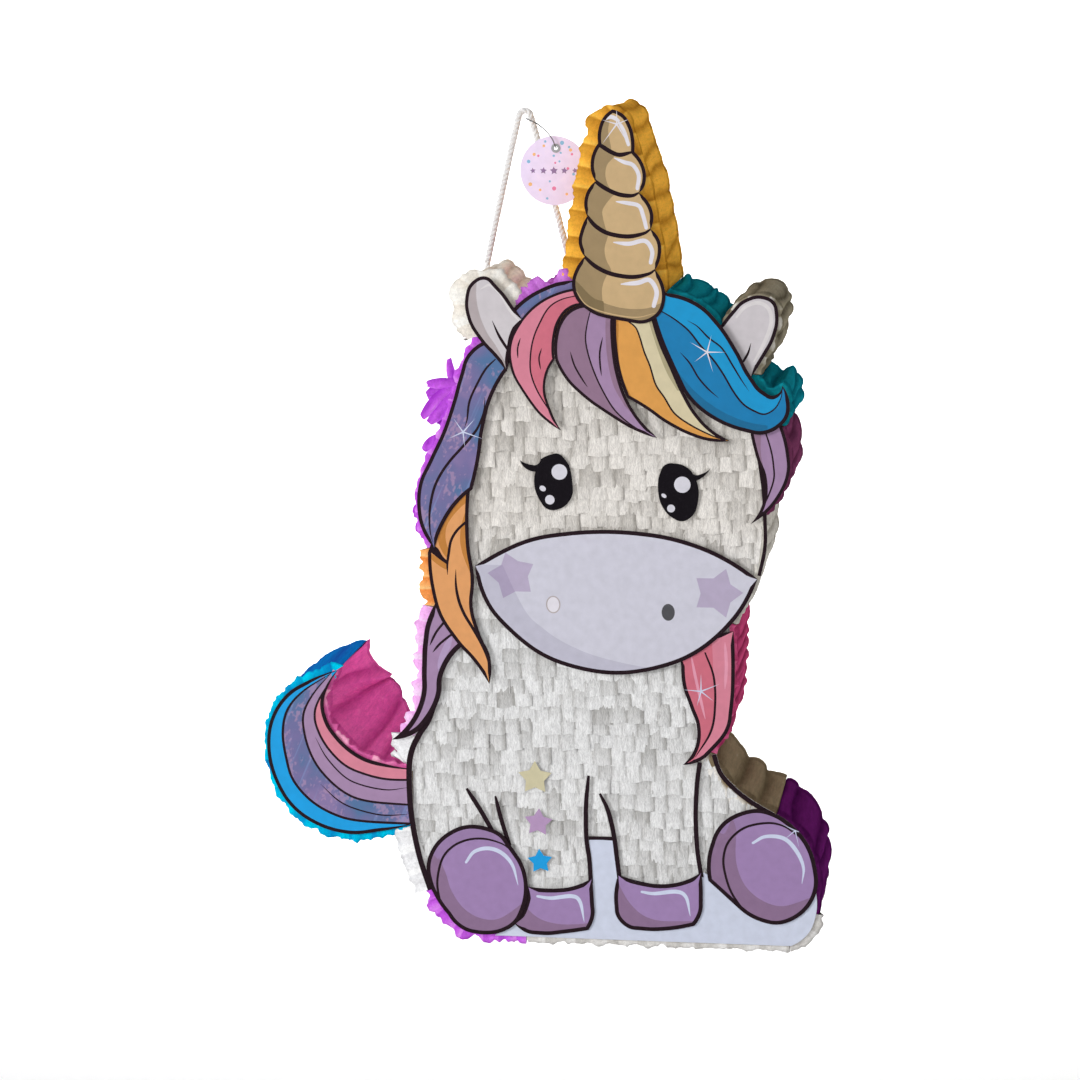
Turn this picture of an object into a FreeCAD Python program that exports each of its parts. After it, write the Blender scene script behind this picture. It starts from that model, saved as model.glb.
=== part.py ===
"""Unicorn pinata: a flat cardboard shell with crepe trims, printed cards, a rope loop and a hang tag.

The outlines are drawn in the front view, x to the right and z up from the ground card's lower
edge, with y running back from the front panel's face. The finished part has its origin where a
hook bears on the rope loop, so every piece is placed back by hang_x, hang_y and hang_z.
"""
import FreeCAD, Part
import math
import os

V = FreeCAD.Vector
doc = FreeCAD.newDocument("pinata")

# ---------------------------------------------------------------- driving dimensions, millimetres
SIZES = {
    "hang_x": -68,  # the hook's place in the rope loop, in the drawing
    "hang_y": 46,
    "hang_z": 590,
    "depth": 92,  # front face of the front panel to back face of the back panel
    "board": 3,  # corrugated cardboard
    "wall_gap": 0.2,  # between neighbouring wall strips
    "fringe": 2.4,  # how far the crepe tabs stand off the panels
    "fringe_gap": 0.1,
    "trim_clear": 0.3,  # between a wall and its crepe band
    "trim_reach": 6,  # outer face of a crepe band from the wall
    "horn_reach": 3.5,  # the same on the horn, beside the swinging tag
    "trim_gap": 0.5,  # between neighbouring crepe bands
    "trim_out": 2.3,  # how far the bands pass the panels at front and back
    "card": 0.5,
    "card_first": 2.6,  # rear face of the lowest card, before the front panel
    "card_pitch": 0.6,  # from one layer of cards to the next
    "line": 3.4,  # width of the dark outline strips
    "flap_wide": 100,
    "flap_tall": 110,
    "flap_x": -20,
    "flap_top": 190,
    "flap_clear": 0.6,
    "flap_relief": 5,  # fringe left off above the flap's fold
    "rope": 5,
    "rope_hole": 6.6,
    "rope_foot": 486,  # height at which the rope bends as the shell swings
    "knot": 4.5,
    "string": 0.9,
    "tag_radius": 24.4,
    "tag_thick": 1,
    "tag_y": 40.5,
    "tag_x": -46.8,
    "tag_z": 550.5,
    "eye_x": -45.5,
    "eye_z": 566.3,
    "eye_bore": 1.3,
    "eye_barrel": 2.3,
    "eye_flange": 3.2,
    "eye_lip": 0.4,
}
sheet = doc.addObject("Spreadsheet::Sheet", "Sizes")
for row, (alias, value) in enumerate(SIZES.items(), 1):
    sheet.set(f"A{row}", alias)
    sheet.set(f"B{row}", str(value))
    sheet.setAlias(f"B{row}", alias)
doc.recompute()


def size(alias):
    """The sheet's value for one dimension."""
    return float(sheet.get(alias))


HANG = V(size("hang_x"), size("hang_y"), size("hang_z"))
parts = []


# ---------------------------------------------------------------- outlines
def turned_arc(start, end, heading):
    """The arc from start to end that leaves start along heading."""
    chord = end - start
    side = heading.x * chord.y - heading.y * chord.x
    if abs(side) < 1e-5 * chord.Length:
        return Part.LineSegment(start, end)
    radius = chord.Length ** 2 / (2 * side)
    centre = start + V(-heading.y, heading.x, 0) * radius
    out = (start - centre) + (end - centre)
    return Part.Arc(start, centre + out * (abs(radius) / out.Length), end)


def backwards(curve):
    """The same arc or line, run from its end to its start."""
    if isinstance(curve, Part.LineSegment):
        return Part.LineSegment(curve.EndPoint, curve.StartPoint)
    middle = curve.value((curve.FirstParameter + curve.LastParameter) / 2)
    start, end = curve.value(curve.LastParameter), curve.value(curve.FirstParameter)
    return Part.Arc(start, middle, end)


def two_arcs(start, end, leave, arrive):
    """Two tangent arcs from start to end that keep both headings."""
    gap = end - start
    along = gap.dot(leave + arrive)
    spread = 2 * (1 - leave.dot(arrive))
    if spread < 1e-7:
        reach = gap.dot(gap) / (2 * along)
    else:
        reach = (math.sqrt(along ** 2 + spread * gap.dot(gap)) - along) / spread
    join = (start + end + (leave - arrive) * reach) / 2
    return [turned_arc(start, join, leave), backwards(turned_arc(end, join, arrive * -1))]


def headings(points):
    """The direction of a smooth curve at each of its points, from the circle through three."""
    steps = [b - a for a, b in zip(points, points[1:])]
    result = []
    for before, after in zip(steps, steps[1:]):
        heading = before * (after.Length / before.Length) + after * (before.Length / after.Length)
        result.append(heading.normalize())

    def mirrored(step, heading):
        unit = V(step).normalize()
        return unit * (2 * heading.dot(unit)) - heading

    return [mirrored(steps[0], result[0])] + result + [mirrored(steps[-1], result[-1])]


def smooth(span):
    """A smooth chain of arcs through a span's points. Two points make a straight line."""
    points = [V(x, z, 0) for x, z in span]
    if len(points) == 2:
        return [Part.LineSegment(*points)]
    curves = []
    ways = headings(points)
    for start, end, leave, arrive in zip(points, points[1:], ways, ways[1:]):
        curves += two_arcs(start, end, leave, arrive)
    return curves


def outline(*spans):
    """A closed outline: each span runs on from where the last one ended, with a corner there."""
    curves = []
    last = spans[-1][-1]
    for span in spans:
        curves += smooth([last] + list(span))
        last = span[-1]
    return curves


# ---------------------------------------------------------------- builders
def keep(thing, label):
    """Names a finished sub-part and lists it for export."""
    thing.Label = label
    parts.append(thing)
    return thing


def plane_of(body, role):
    """One of a body's own origin planes."""
    return next(f for f in body.Origin.OriginFeatures if f.Role == role)


def place(body, depth):
    """Puts a drawn sub-part in the part's frame, its sketch plane at the given depth."""
    body.setExpression("Placement.Base.x", "-Sizes.hang_x")
    body.setExpression("Placement.Base.y", f"{depth} - Sizes.hang_y")
    body.setExpression("Placement.Base.z", "-Sizes.hang_z")


def plate(label, depth, thickness, *loops):
    """A flat plate padded forwards from the given depth. Loops after the first are holes."""
    body = doc.addObject("PartDesign::Body", label)
    sketch = body.newObject("Sketcher::SketchObject", label + "_outline")
    sketch.AttachmentSupport = [(plane_of(body, "XZ_Plane"), "")]
    sketch.MapMode = "FlatFace"
    for loop in loops:
        sketch.addGeometry(loop, False)
    pad = body.newObject("PartDesign::Pad", label + "_pad")
    pad.Profile = sketch
    pad.setExpression("Length", f"Sizes.{thickness}")
    place(body, depth)
    return keep(body, label)


def loose_plates(label, depth, thickness, loops):
    """Several separate flat pieces of one kind, extruded forwards from one sketch."""
    sketch = doc.addObject("Sketcher::SketchObject", label + "_outline")
    sketch.Placement = FreeCAD.Placement(V(0, 0, 0), FreeCAD.Rotation(V(1, 0, 0), 90))
    for loop in loops:
        sketch.addGeometry(loop, False)
    solid = doc.addObject("Part::Extrusion", label + "_sheet")
    solid.Base = sketch
    solid.DirMode = "Custom"
    solid.Dir = V(0, -1, 0)
    solid.Solid = True
    solid.FaceMakerClass = "Part::FaceMakerBullseye"
    solid.setExpression("LengthFwd", f"Sizes.{thickness}")
    place(solid, depth)
    return keep(solid, label)


def feature(label, shape):
    """A sub-part whose shape comes from Part's own functions, drawn at its place."""
    thing = doc.addObject("Part::Feature", label)
    thing.Shape = shape
    thing.Placement = FreeCAD.Placement(HANG * -1, FreeCAD.Rotation())
    return keep(thing, label)


def card(label, layer, *loops):
    """A printed card glued in one of the layers before the front panel."""
    depth = f"(-Sizes.card_first - {layer - 1} * Sizes.card_pitch)"
    return plate(label, depth, "card", *loops)


# ---------------------------------------------------------------- the silhouette, clockwise
# Each span carries one colour of crepe, and its corners are where the colours meet.
SILHOUETTE = {
    "horn": [(-24, 500), (-20, 528), (-15, 556), (-10, 576), (-4, 592), (2, 596), (9, 592),
             (15, 578), (20, 562), (25, 547), (30, 522), (35, 495), (37, 469)],
    "crown_right": [(48, 467), (61, 461), (76, 446)],
    "ear_right": [(83, 456), (92, 464), (103, 467), (112, 463), (115, 452), (112, 437), (106, 424),
                  (100, 412)],
    "forelock_tip": [(108, 402), (118, 404)],
    "forelock": [(123, 394), (122, 384), (117, 376)],
    "mane_right": [(122, 360), (122, 343), (115, 325), (105, 313)],
    "cheek": [(105, 298), (104, 284), (100, 268), (92, 248), (83, 235)],
    "lock_pink": [(84, 215), (83, 190), (80, 163), (73, 148), (67, 141)],
    "haunch_right": [(74, 126), (86, 113), (98, 104), (114, 96)],
    "hoof_right": [(126, 89), (136, 77), (143, 60), (145, 44), (143, 24)],
    "corner_right": [(137, 8), (124, 0)],
    "base": [(-99, 0)],
    "hoof_left": [(-113, 4), (-126, 15), (-136, 33)],
    "haunch_left": [(-142, 50), (-148, 68), (-150, 82)],
    "tail_outer": [(-173, 76), (-196, 73), (-218, 78), (-238, 91), (-251, 112), (-256, 136),
                   (-253, 156), (-241, 175), (-222, 188), (-203, 195)],
    "tail_inner": [(-210, 184), (-213, 170), (-210, 156), (-201, 143), (-186, 132), (-167, 126),
                   (-152, 124)],
    "rump": [(-149, 136), (-151, 148)],
    "lock_lilac": [(-143, 165), (-140, 182), (-139, 205), (-137, 228), (-132, 243)],
    "lock_orange": [(-133, 262), (-132, 286)],
    "mane_left": [(-139, 301), (-141, 320), (-136, 341), (-124, 366), (-115, 391), (-109, 412),
                  (-101, 428), (-95, 437)],
    "ear_left": [(-102, 450), (-104, 463), (-100, 475), (-91, 480), (-80, 472), (-69, 458)],
    "crown_left": [(-58, 466), (-48, 472), (-38, 475), (-27, 476)],
}
BOARD_OUTLINE = outline(*SILHOUETTE.values())


def spans_with_starts():
    """Each span's name with all its points, the corner it starts from first."""
    names = list(SILHOUETTE)
    for before, name in zip([names[-1]] + names, names):
        yield name, [SILHOUETTE[before][-1]] + SILHOUETTE[name]


# ---------------------------------------------------------------- panels and filling flap
def flap_loop(clear, top):
    """The flap's outline: straight, with two rounded lower corners."""
    half = size("flap_wide") / 2 - clear
    left, right = size("flap_x") - half, size("flap_x") + half
    low = size("flap_top") - size("flap_tall") + clear
    bend = 12
    slant = bend * (1 - math.sqrt(0.5))
    corners = [
        Part.LineSegment(V(left, top, 0), V(right, top, 0)),
        Part.LineSegment(V(right, top, 0), V(right, low + bend, 0)),
        Part.Arc(V(right, low + bend, 0), V(right - slant, low + slant, 0), V(right - bend, low, 0)),
        Part.LineSegment(V(right - bend, low, 0), V(left + bend, low, 0)),
        Part.Arc(V(left + bend, low, 0), V(left + slant, low + slant, 0), V(left, low + bend, 0)),
        Part.LineSegment(V(left, low + bend, 0), V(left, top, 0)),
    ]
    return corners


plate("front_panel", "Sizes.board", "board", BOARD_OUTLINE)
plate("back_panel", "Sizes.depth", "board", BOARD_OUTLINE, flap_loop(0, size("flap_top")))
FLAP = flap_loop(size("flap_clear"), size("flap_top") - size("flap_clear"))
plate("fill_flap", "Sizes.depth", "board", FLAP)


# ---------------------------------------------------------------- walls and crepe trims
ROPE_FEET = (-96.5, -37)
SPANS = dict(spans_with_starts())
NAMES = list(SPANS)


def before(name):
    """The span that runs into this one."""
    return NAMES[NAMES.index(name) - 1]


def after(name):
    """The span that this one runs into."""
    return NAMES[(NAMES.index(name) + 1) % len(NAMES)]


def stand(flat, front, back):
    """A drawn face stood up in the front view and extruded from one depth to another."""
    flat.rotate(V(0, 0, 0), V(1, 0, 0), 90)
    solid = flat.extrude(V(0, back - front, 0))
    solid.translate(V(0, front, 0))
    return solid


def end_headings(name):
    """The direction of a span where it starts and where it ends."""
    points = [V(x, z, 0) for x, z in SPANS[name]]
    if len(points) == 2:
        return [(points[1] - points[0]).normalize()] * 2
    ways = headings(points)
    return ways[0], ways[-1]


def blade(name, near, far):
    """A block across the corner where a span starts, from near to far along its heading.

    It stands on the corner's bisector and reaches from inside the shell to outside the trims.
    """
    arriving, leaving = end_headings(before(name))[1], end_headings(name)[0]
    way = (arriving + leaving).normalize()
    inside, outside = 8, 16
    block = Part.makeBox(far - near, 2 * size("depth"), inside + outside)
    block.translate(V(near, -size("depth") / 2, -inside))
    block.rotate(V(0, 0, 0), V(0, 1, 0), -math.degrees(math.atan2(way.y, way.x)))
    x, z = SPANS[name][0]
    block.translate(V(x, 0, z))
    return block


def rope_holes():
    """The two holes that the rope's ends pass down through."""
    low = size("rope_foot") - 24
    return [Part.makeCylinder(size("rope_hole") / 2, 26, V(x, HANG.y, low)) for x in ROPE_FEET]


def shifted(curve, reach):
    """A curve moved to its left by reach, an arc staying on its own centre."""
    shape = curve.toShape()
    first, last = shape.FirstParameter, shape.LastParameter
    points = []
    for at in (first, (first + last) / 2, last):
        way = shape.tangentAt(at)
        points.append(shape.valueAt(at) + V(-way.y, way.x, 0) * reach)
    if isinstance(curve, Part.LineSegment):
        return Part.LineSegment(points[0], points[2])
    return Part.Arc(*points)


def span_band(name, near, far, front, back, gap):
    """The band along one span, between two distances off it, mitred to its neighbours."""
    curves = smooth(SPANS[name])
    inner = [shifted(curve, near) for curve in curves]
    outer = [backwards(shifted(curve, far)) for curve in curves][::-1]
    caps = [Part.LineSegment(inner[-1].EndPoint, outer[0].StartPoint),
            Part.LineSegment(outer[-1].EndPoint, inner[0].StartPoint)]
    edges = [curve.toShape() for curve in inner + caps[:1] + outer + caps[1:]]
    solid = stand(Part.Face(Part.Wire(edges)), front, back)
    wide = 14
    return solid.cut([blade(name, -wide, gap / 2), blade(after(name), -gap / 2, wide)])


# wall strips: each runs along several spans of the silhouette
WALLS = {
    "wall_horn": ["horn"],
    "wall_face_right": ["crown_right", "ear_right", "forelock_tip", "forelock", "mane_right",
                        "cheek"],
    "wall_body_right": ["lock_pink", "haunch_right", "hoof_right", "corner_right"],
    "wall_base": ["base", "hoof_left", "haunch_left"],
    "wall_tail": ["tail_outer", "tail_inner"],
    "wall_mane_left": ["rump", "lock_lilac", "lock_orange", "mane_left"],
    "wall_crown_left": ["ear_left", "crown_left"],
}


def wall_band():
    """The whole wall, the board's thickness inside the silhouette, cut into its strips."""
    face = Part.Face(Part.Wire([curve.toShape() for curve in BOARD_OUTLINE]))
    flat = face.cut(face.makeOffset2D(-size("board"), 0))
    ring = stand(flat, size("board"), size("depth") - size("board"))
    half_gap = size("wall_gap") / 2
    cuts = [blade(group[0], -half_gap, half_gap) for group in WALLS.values()]
    return ring.cut(cuts + rope_holes())


def along(solids, name, side):
    """The piece of a cut band that lies along a span, at a distance off it."""
    curve = smooth(SPANS[name])[len(smooth(SPANS[name])) // 2]
    shape = shifted(curve, side).toShape()
    point = shape.valueAt((shape.FirstParameter + shape.LastParameter) / 2)
    probe = Part.Vertex(V(point.x, size("depth") / 2, point.y))
    return min(solids, key=lambda solid: solid.distToShape(probe)[0])


strips = wall_band().Solids
for label, group in WALLS.items():
    feature(label, along(strips, group[0], -size("board") / 2))

# crepe bands: one node for each colour's stretch
TRIMS = {
    "trim_horn": ["horn"],
    "trim_crown_right": ["crown_right"],
    "trim_ear_right": ["ear_right"],
    "trim_forelock": ["forelock_tip", "forelock"],
    "trim_mane_right": ["mane_right"],
    "trim_cheek": ["cheek"],
    "trim_lock_pink": ["lock_pink"],
    "trim_haunch_right": ["haunch_right"],
    "trim_hoof_right": ["hoof_right"],
    "trim_base": ["corner_right", "base"],
    "trim_hoof_left": ["hoof_left"],
    "trim_haunch_left": ["haunch_left", "rump"],
    "trim_tail_outer": ["tail_outer"],
    "trim_tail_inner": ["tail_inner"],
    "trim_lock_lilac": ["lock_lilac"],
    "trim_lock_orange": ["lock_orange"],
    "trim_mane_left": ["mane_left"],
    "trim_ear_left": ["ear_left"],
    "trim_crown_left": ["crown_left"],
}


def trim(name):
    """The crepe band along one span, with any rope hole through it."""
    reach = size("horn_reach") if name == "horn" else size("trim_reach")
    band = span_band(name, size("trim_clear"), reach, -size("trim_out"),
                     size("depth") + size("trim_out"), size("trim_gap"))
    return band.cut(rope_holes()) if name in ("ear_left", "crown_left") else band


for label, group in TRIMS.items():
    lengths = [trim(name).Solids[0] for name in group]
    feature(label, lengths[0] if len(lengths) == 1 else Part.makeCompound(lengths))

# ---------------------------------------------------------------- crepe fringe
FRONT_FRINGE = outline(
    [(60, 437)],
    [(95, 388), (103, 345), (104, 320), (103, 290), (99, 268), (91, 248), (81, 235)],
    [(80, 200), (76, 165), (64, 143)],
    [(70, 127), (83, 113), (97, 102)],
    [(108, 90)],
    [(100, 30)],
    [(-60, 30)],
    [(-124, 30)],
    [(-139, 55), (-146, 75), (-149, 100), (-148, 130), (-146, 150)],
    [(-136, 175), (-132, 205), (-126, 240)],
    [(-122, 270), (-112, 305), (-104, 340), (-96, 372), (-84, 405), (-66, 437)],
)
plate("front_fringe", "-Sizes.fringe_gap", "fringe", FRONT_FRINGE)
BACK_DEPTH = "(Sizes.depth + Sizes.fringe_gap + Sizes.fringe)"
FLAP_RELIEF = flap_loop(0, size("flap_top") + size("flap_relief"))
plate("back_fringe", BACK_DEPTH, "fringe", BOARD_OUTLINE, FLAP_RELIEF)
plate("flap_fringe", BACK_DEPTH, "fringe", FLAP)


# ---------------------------------------------------------------- printed cards
card("tail_card", 1, outline(
    [(-222, 188), (-241, 176), (-253, 157), (-256, 136), (-251, 112), (-238, 91), (-218, 78),
     (-196, 73), (-172, 76), (-149, 82)],
    [(-149, 123)],
    [(-168, 126), (-187, 132), (-202, 144), (-211, 158), (-213, 172), (-209, 184), (-202, 195)],
))
card("ground_card", 1, outline(
    [(-21, 77)],
    [(0, 77)],
    [(3, 50)],
    [(60, 55)],
    [(100, 22), (143, 40)],
    [(143, 24), (137, 9), (125, 0)],
    [(-90, 0)],
    [(-60, 20)],
    [(-19, 20)],
    [(-19, 60)],
))
card("ear_right", 1, outline(
    [(81, 454), (91, 464), (103, 467), (112, 463), (115, 452), (112, 437), (105, 424), (96, 410)],
    [(88, 414), (80, 428), (72, 440)],
    [(75, 446)],
))


def strip(points, width):
    """The outline of a strip of one width along a smooth line, with square ends."""
    centre = [V(x, z, 0) for x, z in points]
    ways = headings(centre) if len(centre) > 2 else [(centre[1] - centre[0]).normalize()] * 2
    sides = []
    for side in (width / 2, -width / 2):
        sides.append([(p.x - w.y * side, p.y + w.x * side) for p, w in zip(centre, ways)])
    one, other = sides[0], sides[1][::-1]
    return outline(one[1:], [other[0]], other[1:], [one[0]])


LINES = {
    "flank": [(-149, 141), (-151, 125), (-150, 90), (-145, 60), (-138, 35)],
    "hind_tick": [(-109, 109), (-93, 84)],
    "rear_tick": [(-88, 104), (-84, 84)],
    "leg_left": [(-20, 122), (-22, 100), (-22, 76), (-20, 60), (-19, 46)],
    "leg_right": [(-12, 109), (-6, 96), (-2, 78), (0, 62), (1, 50)],
    "leg_outer": [(60, 134), (58, 118), (57, 95), (58, 71), (60, 53)],
    "haunch": [(70, 140), (75, 126), (86, 114), (98, 105), (112, 97)],
    "face": [(99, 372), (102, 352), (105, 330), (106, 310), (106, 290), (102, 270)],
}
LAYER_TWO = "(-Sizes.card_first - Sizes.card_pitch)"
loose_plates("outline_strips", LAYER_TWO, "card",
             [strip(points, size("line")) for points in LINES.values()])

card("hoof_hind_left", 4, outline(
    [(-132, 26), (-137, 37), (-139, 53), (-134, 66), (-123, 77), (-108, 83), (-95, 82),
     (-85, 78), (-76, 67), (-68, 54), (-65, 40), (-67, 24), (-75, 9), (-85, 3), (-99, 1),
     (-113, 4), (-124, 15)],
))
card("hoof_front_left", 3, outline(
    [(-49, 37), (-33, 39), (-18, 46)],
    [(-17, 30), (-17, 16), (-21, 7)],
    [(-37, 4), (-54, 2), (-68, 4), (-75, 10)],
    [(-68, 22), (-65, 38)],
))
card("hoof_front_right", 3, outline(
    [(15, 45), (31, 43), (48, 46), (61, 53)],
    [(62, 35), (61, 22), (56, 13)],
    [(38, 9), (20, 8), (7, 10), (0, 17), (-2, 28), (1, 49)],
))
card("hoof_hind_right", 3, outline(
    [(75, 89), (88, 98), (103, 101), (114, 98), (127, 89), (137, 77), (143, 60),
     (144, 44), (139, 31), (129, 21), (116, 16), (103, 18), (89, 26)],
    [(66, 47)],
    [(65, 60), (68, 75)],
))
card("lock_pink_right", 3, outline(
    [(48, 190), (53, 175), (58, 160), (57, 146), (48, 132)],
    [(60, 135), (71, 145), (80, 157), (84, 178), (85, 200), (84, 230)],
    [(66, 225), (46, 212)],
    [(47, 204)],
))
card("lock_lilac_low", 3, outline(
    [(-136, 232), (-139, 215), (-140, 198), (-141, 178), (-148, 161), (-163, 145)],
    [(-146, 150), (-134, 163), (-127, 178), (-125, 193), (-118, 207), (-109, 216)],
    [(-112, 236), (-128, 248)],
))
card("lock_lilac_right", 3, outline(
    [(100, 354), (105, 340), (105, 324), (96, 307)],
    [(106, 314), (116, 326), (123, 343), (122, 361), (114, 384)],
    [(96, 384)],
    [(96, 370)],
))
card("lock_orange", 4, outline(
    [(-104, 315), (-104, 290), (-101, 265), (-102, 242), (-97, 224), (-90, 207), (-91, 188)],
    [(-101, 203), (-115, 219), (-127, 238), (-132, 257), (-134, 283)],
    [(-124, 306), (-112, 326), (-102, 336)],
))
card("muzzle", 5, outline(
    [(-84, 284), (-62, 294), (-30, 300), (10, 301), (45, 296), (75, 285), (101, 268)],
    [(92, 248), (78, 230), (54, 211), (28, 201), (0, 197), (-26, 200), (-52, 209), (-75, 226),
     (-92, 246), (-100, 274)],
))
card("side_lock", 5, outline(
    [(-38, 476), (-49, 472), (-60, 466), (-72, 455)],
    [(-92, 434)],
    [(-103, 425), (-109, 409), (-114, 392), (-121, 372), (-132, 349), (-139, 334), (-141, 317),
     (-138, 300), (-129, 286)],
    [(-121, 306), (-112, 319), (-101, 329)],
    [(-96, 349), (-92, 374), (-86, 395), (-75, 414)],
    [(-66, 436), (-55, 452), (-42, 462), (-26, 467)],
    [(-26, 477)],
))
card("ear_left", 6, outline(
    [(-70, 459), (-79, 471), (-91, 480), (-100, 475), (-104, 463), (-102, 449), (-93, 434),
     (-83, 423), (-75, 413)],
    [(-73, 427), (-70, 440), (-64, 450)],
))
card("forelock_pink", 7, outline(
    [(-38, 469), (-52, 462), (-65, 449), (-73, 432), (-72, 415), (-62, 396), (-50, 381),
     (-37, 372)],
    [(-44, 386), (-48, 402), (-46, 413), (-41, 422)],
    [(-41, 437), (-38, 448), (-31, 457), (-16, 460)],
    [(-16, 466)],
    [(-25, 472)],
))
card("forelock_lilac", 7, outline(
    [(-33, 409), (-20, 396), (-3, 384), (14, 374), (30, 368)],
    [(19, 379), (9, 395), (3, 413), (0.5, 430), (0.5, 460)],
    [(-15, 460)],
    [(-30, 456), (-37, 447), (-40, 436), (-40, 422)],
))
card("forelock_gold", 7, outline(
    [(22, 389), (38, 378), (54, 370), (68, 366), (81, 366)],
    [(68, 374), (57, 386), (49, 400), (41, 418), (34, 434), (27, 460)],
    [(1.5, 460)],
    [(1.5, 430), (4, 414), (10, 396)],
))
card("forelock_blue", 8, outline(
    [(48, 467), (61, 461), (76, 446), (87, 429), (96, 412), (105, 401), (112, 398), (118, 405)],
    [(123, 394), (122, 383), (115, 375), (106, 371), (90, 373), (72, 380), (58, 390), (49, 401)],
    [(41, 418), (34, 434), (26, 460)],
    [(30, 469)],
))
card("horn", 9, outline(
    [(8, 592), (14, 583), (16, 574), (16, 566)],
    [(22, 558), (24, 549), (22, 541), (19, 538)],
    [(26, 531), (29, 521), (27, 513)],
    [(33, 506), (34, 495), (30, 485)],
    [(35, 477), (37, 465), (33, 454), (28, 450), (4, 450), (-16, 456), (-26, 466), (-28, 477),
     (-25, 486), (-19, 494)],
    [(-23, 503), (-21, 514), (-17, 522)],
    [(-19, 530), (-17, 539), (-11, 546)],
    [(-14, 553), (-14, 561), (-9, 572)],
    [(-9, 580), (-5, 590), (1, 595)],
))
card("eye_left", 1, outline(
    [(-46, 354), (-40, 355), (-34, 350), (-30, 337), (-31, 323), (-38, 316), (-47, 315),
     (-54, 323), (-57, 333), (-56, 342)],
    [(-61, 343), (-67, 350)],
    [(-60, 347), (-55, 347), (-52, 351)],
))
card("eye_right", 1, outline(
    [(36, 348), (32, 341), (31, 329), (34, 318), (40, 311), (48, 308), (55, 312), (59, 322),
     (58, 337)],
    [(63, 340), (68, 346)],
    [(62, 342), (57, 341), (53, 345), (48, 348), (42, 349)],
))


def star(x, z, reach, turn):
    """A five-pointed star's outline round a centre."""
    points = []
    for k in range(10):
        angle = math.radians(90 + turn + 36 * k)
        radius = reach if k % 2 == 0 else 0.55 * reach
        points.append((x + radius * math.cos(angle), z + radius * math.sin(angle)))
    return outline(*[[point] for point in points[1:] + points[:1]])


loose_plates("belly_stars", "-Sizes.card_first", "card", [
    star(-59, 119, 12.6, 0), star(-57, 86, 10.6, -4), star(-56, 57, 9.4, 4),
])


# ---------------------------------------------------------------- rope, string and tag
def rounded_path(points, label):
    """Straight runs joined by tangent arcs, each as large as its two runs allow."""
    points = [V(*p) for p in points]
    edges = []
    radii = []
    start = points[0]
    for before, corner, after in zip(points, points[1:], points[2:]):
        into = (corner - before).normalize()
        out = (after - corner).normalize()
        reach = 0.45 * min((corner - before).Length, (after - corner).Length)
        half_turn = math.acos(max(-1, min(1, into.dot(out)))) / 2
        radius = reach / math.tan(half_turn)
        radii.append(radius)
        first, last = corner - into * reach, corner + out * reach
        centre_way = (out - into).normalize()
        centre = corner + centre_way * (radius / math.cos(half_turn))
        middle = centre - centre_way * radius
        edges.append(Part.LineSegment(start, first).toShape())
        edges.append(Part.Arc(first, middle, last).toShape())
        start = last
    edges.append(Part.LineSegment(start, points[-1]).toShape())
    wire = Part.Wire(edges)
    print(f"{label}: length {wire.Length:.1f}, radii", [round(r, 1) for r in radii])
    return wire


def cord(label, points, diameter):
    """A round cord along a route, with its volume compared with section times length."""
    path = rounded_path(points, label)
    start, ahead = V(*points[0]), V(*points[1]) - V(*points[0])
    section = Part.Wire(Part.makeCircle(diameter / 2, start, ahead))
    tube = path.makePipeShell([section], True, False)
    expected = math.pi * diameter ** 2 / 4 * path.Length
    print(f"{label}: volume {tube.Volume:.1f} of {expected:.1f}")
    return feature(label, tube)


foot = size("rope_foot")
ROPE = [(ROPE_FEET[0], HANG.y, foot), (-73.0, HANG.y, 589.8), (-70.2, HANG.y, 592.4),
        (-66.4, HANG.y, 592.5), (-63.6, HANG.y, 590.0), (ROPE_FEET[1], HANG.y, foot)]
cord("rope_loop", ROPE, size("rope"))

STRING = [(-44.5, 43.2, 569), (-49, 44.8, 573.5), (-54.5, 48.4, 579), (-61, 50.2, 584),
          (-66.2, 49.2, 586.4), (-68.0, 46, 587), (-66.4, 42.6, 586.6), (-61, 40.8, 584.8),
          (-53, 38.6, 579.6), (-47, 37.2, 572.6), (-45.5, 37.6, 566.9), (-45.5, 43.4, 566.2)]
cord("tag_string", STRING, size("string"))


def rope_end(x):
    """A rope's end in the shell: a short length down through the hole, and its knot."""
    knot = V(x, HANG.y, foot - 24)
    length = Part.makeCylinder(size("rope") / 2, 21, knot)
    return length.fuse(Part.makeSphere(size("knot"), knot))


feature("rope_knots", Part.makeCompound([rope_end(x) for x in ROPE_FEET]))

TAG_BACK = "(Sizes.tag_y + Sizes.tag_thick / 2)"
plate(
    "hang_tag", TAG_BACK, "tag_thick",
    [Part.Circle(V(size("tag_x"), size("tag_z"), 0), V(0, 0, 1), size("tag_radius"))],
    [Part.Circle(V(size("eye_x"), size("eye_z"), 0), V(0, 0, 1), size("eye_barrel") + 0.05)],
)


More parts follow.
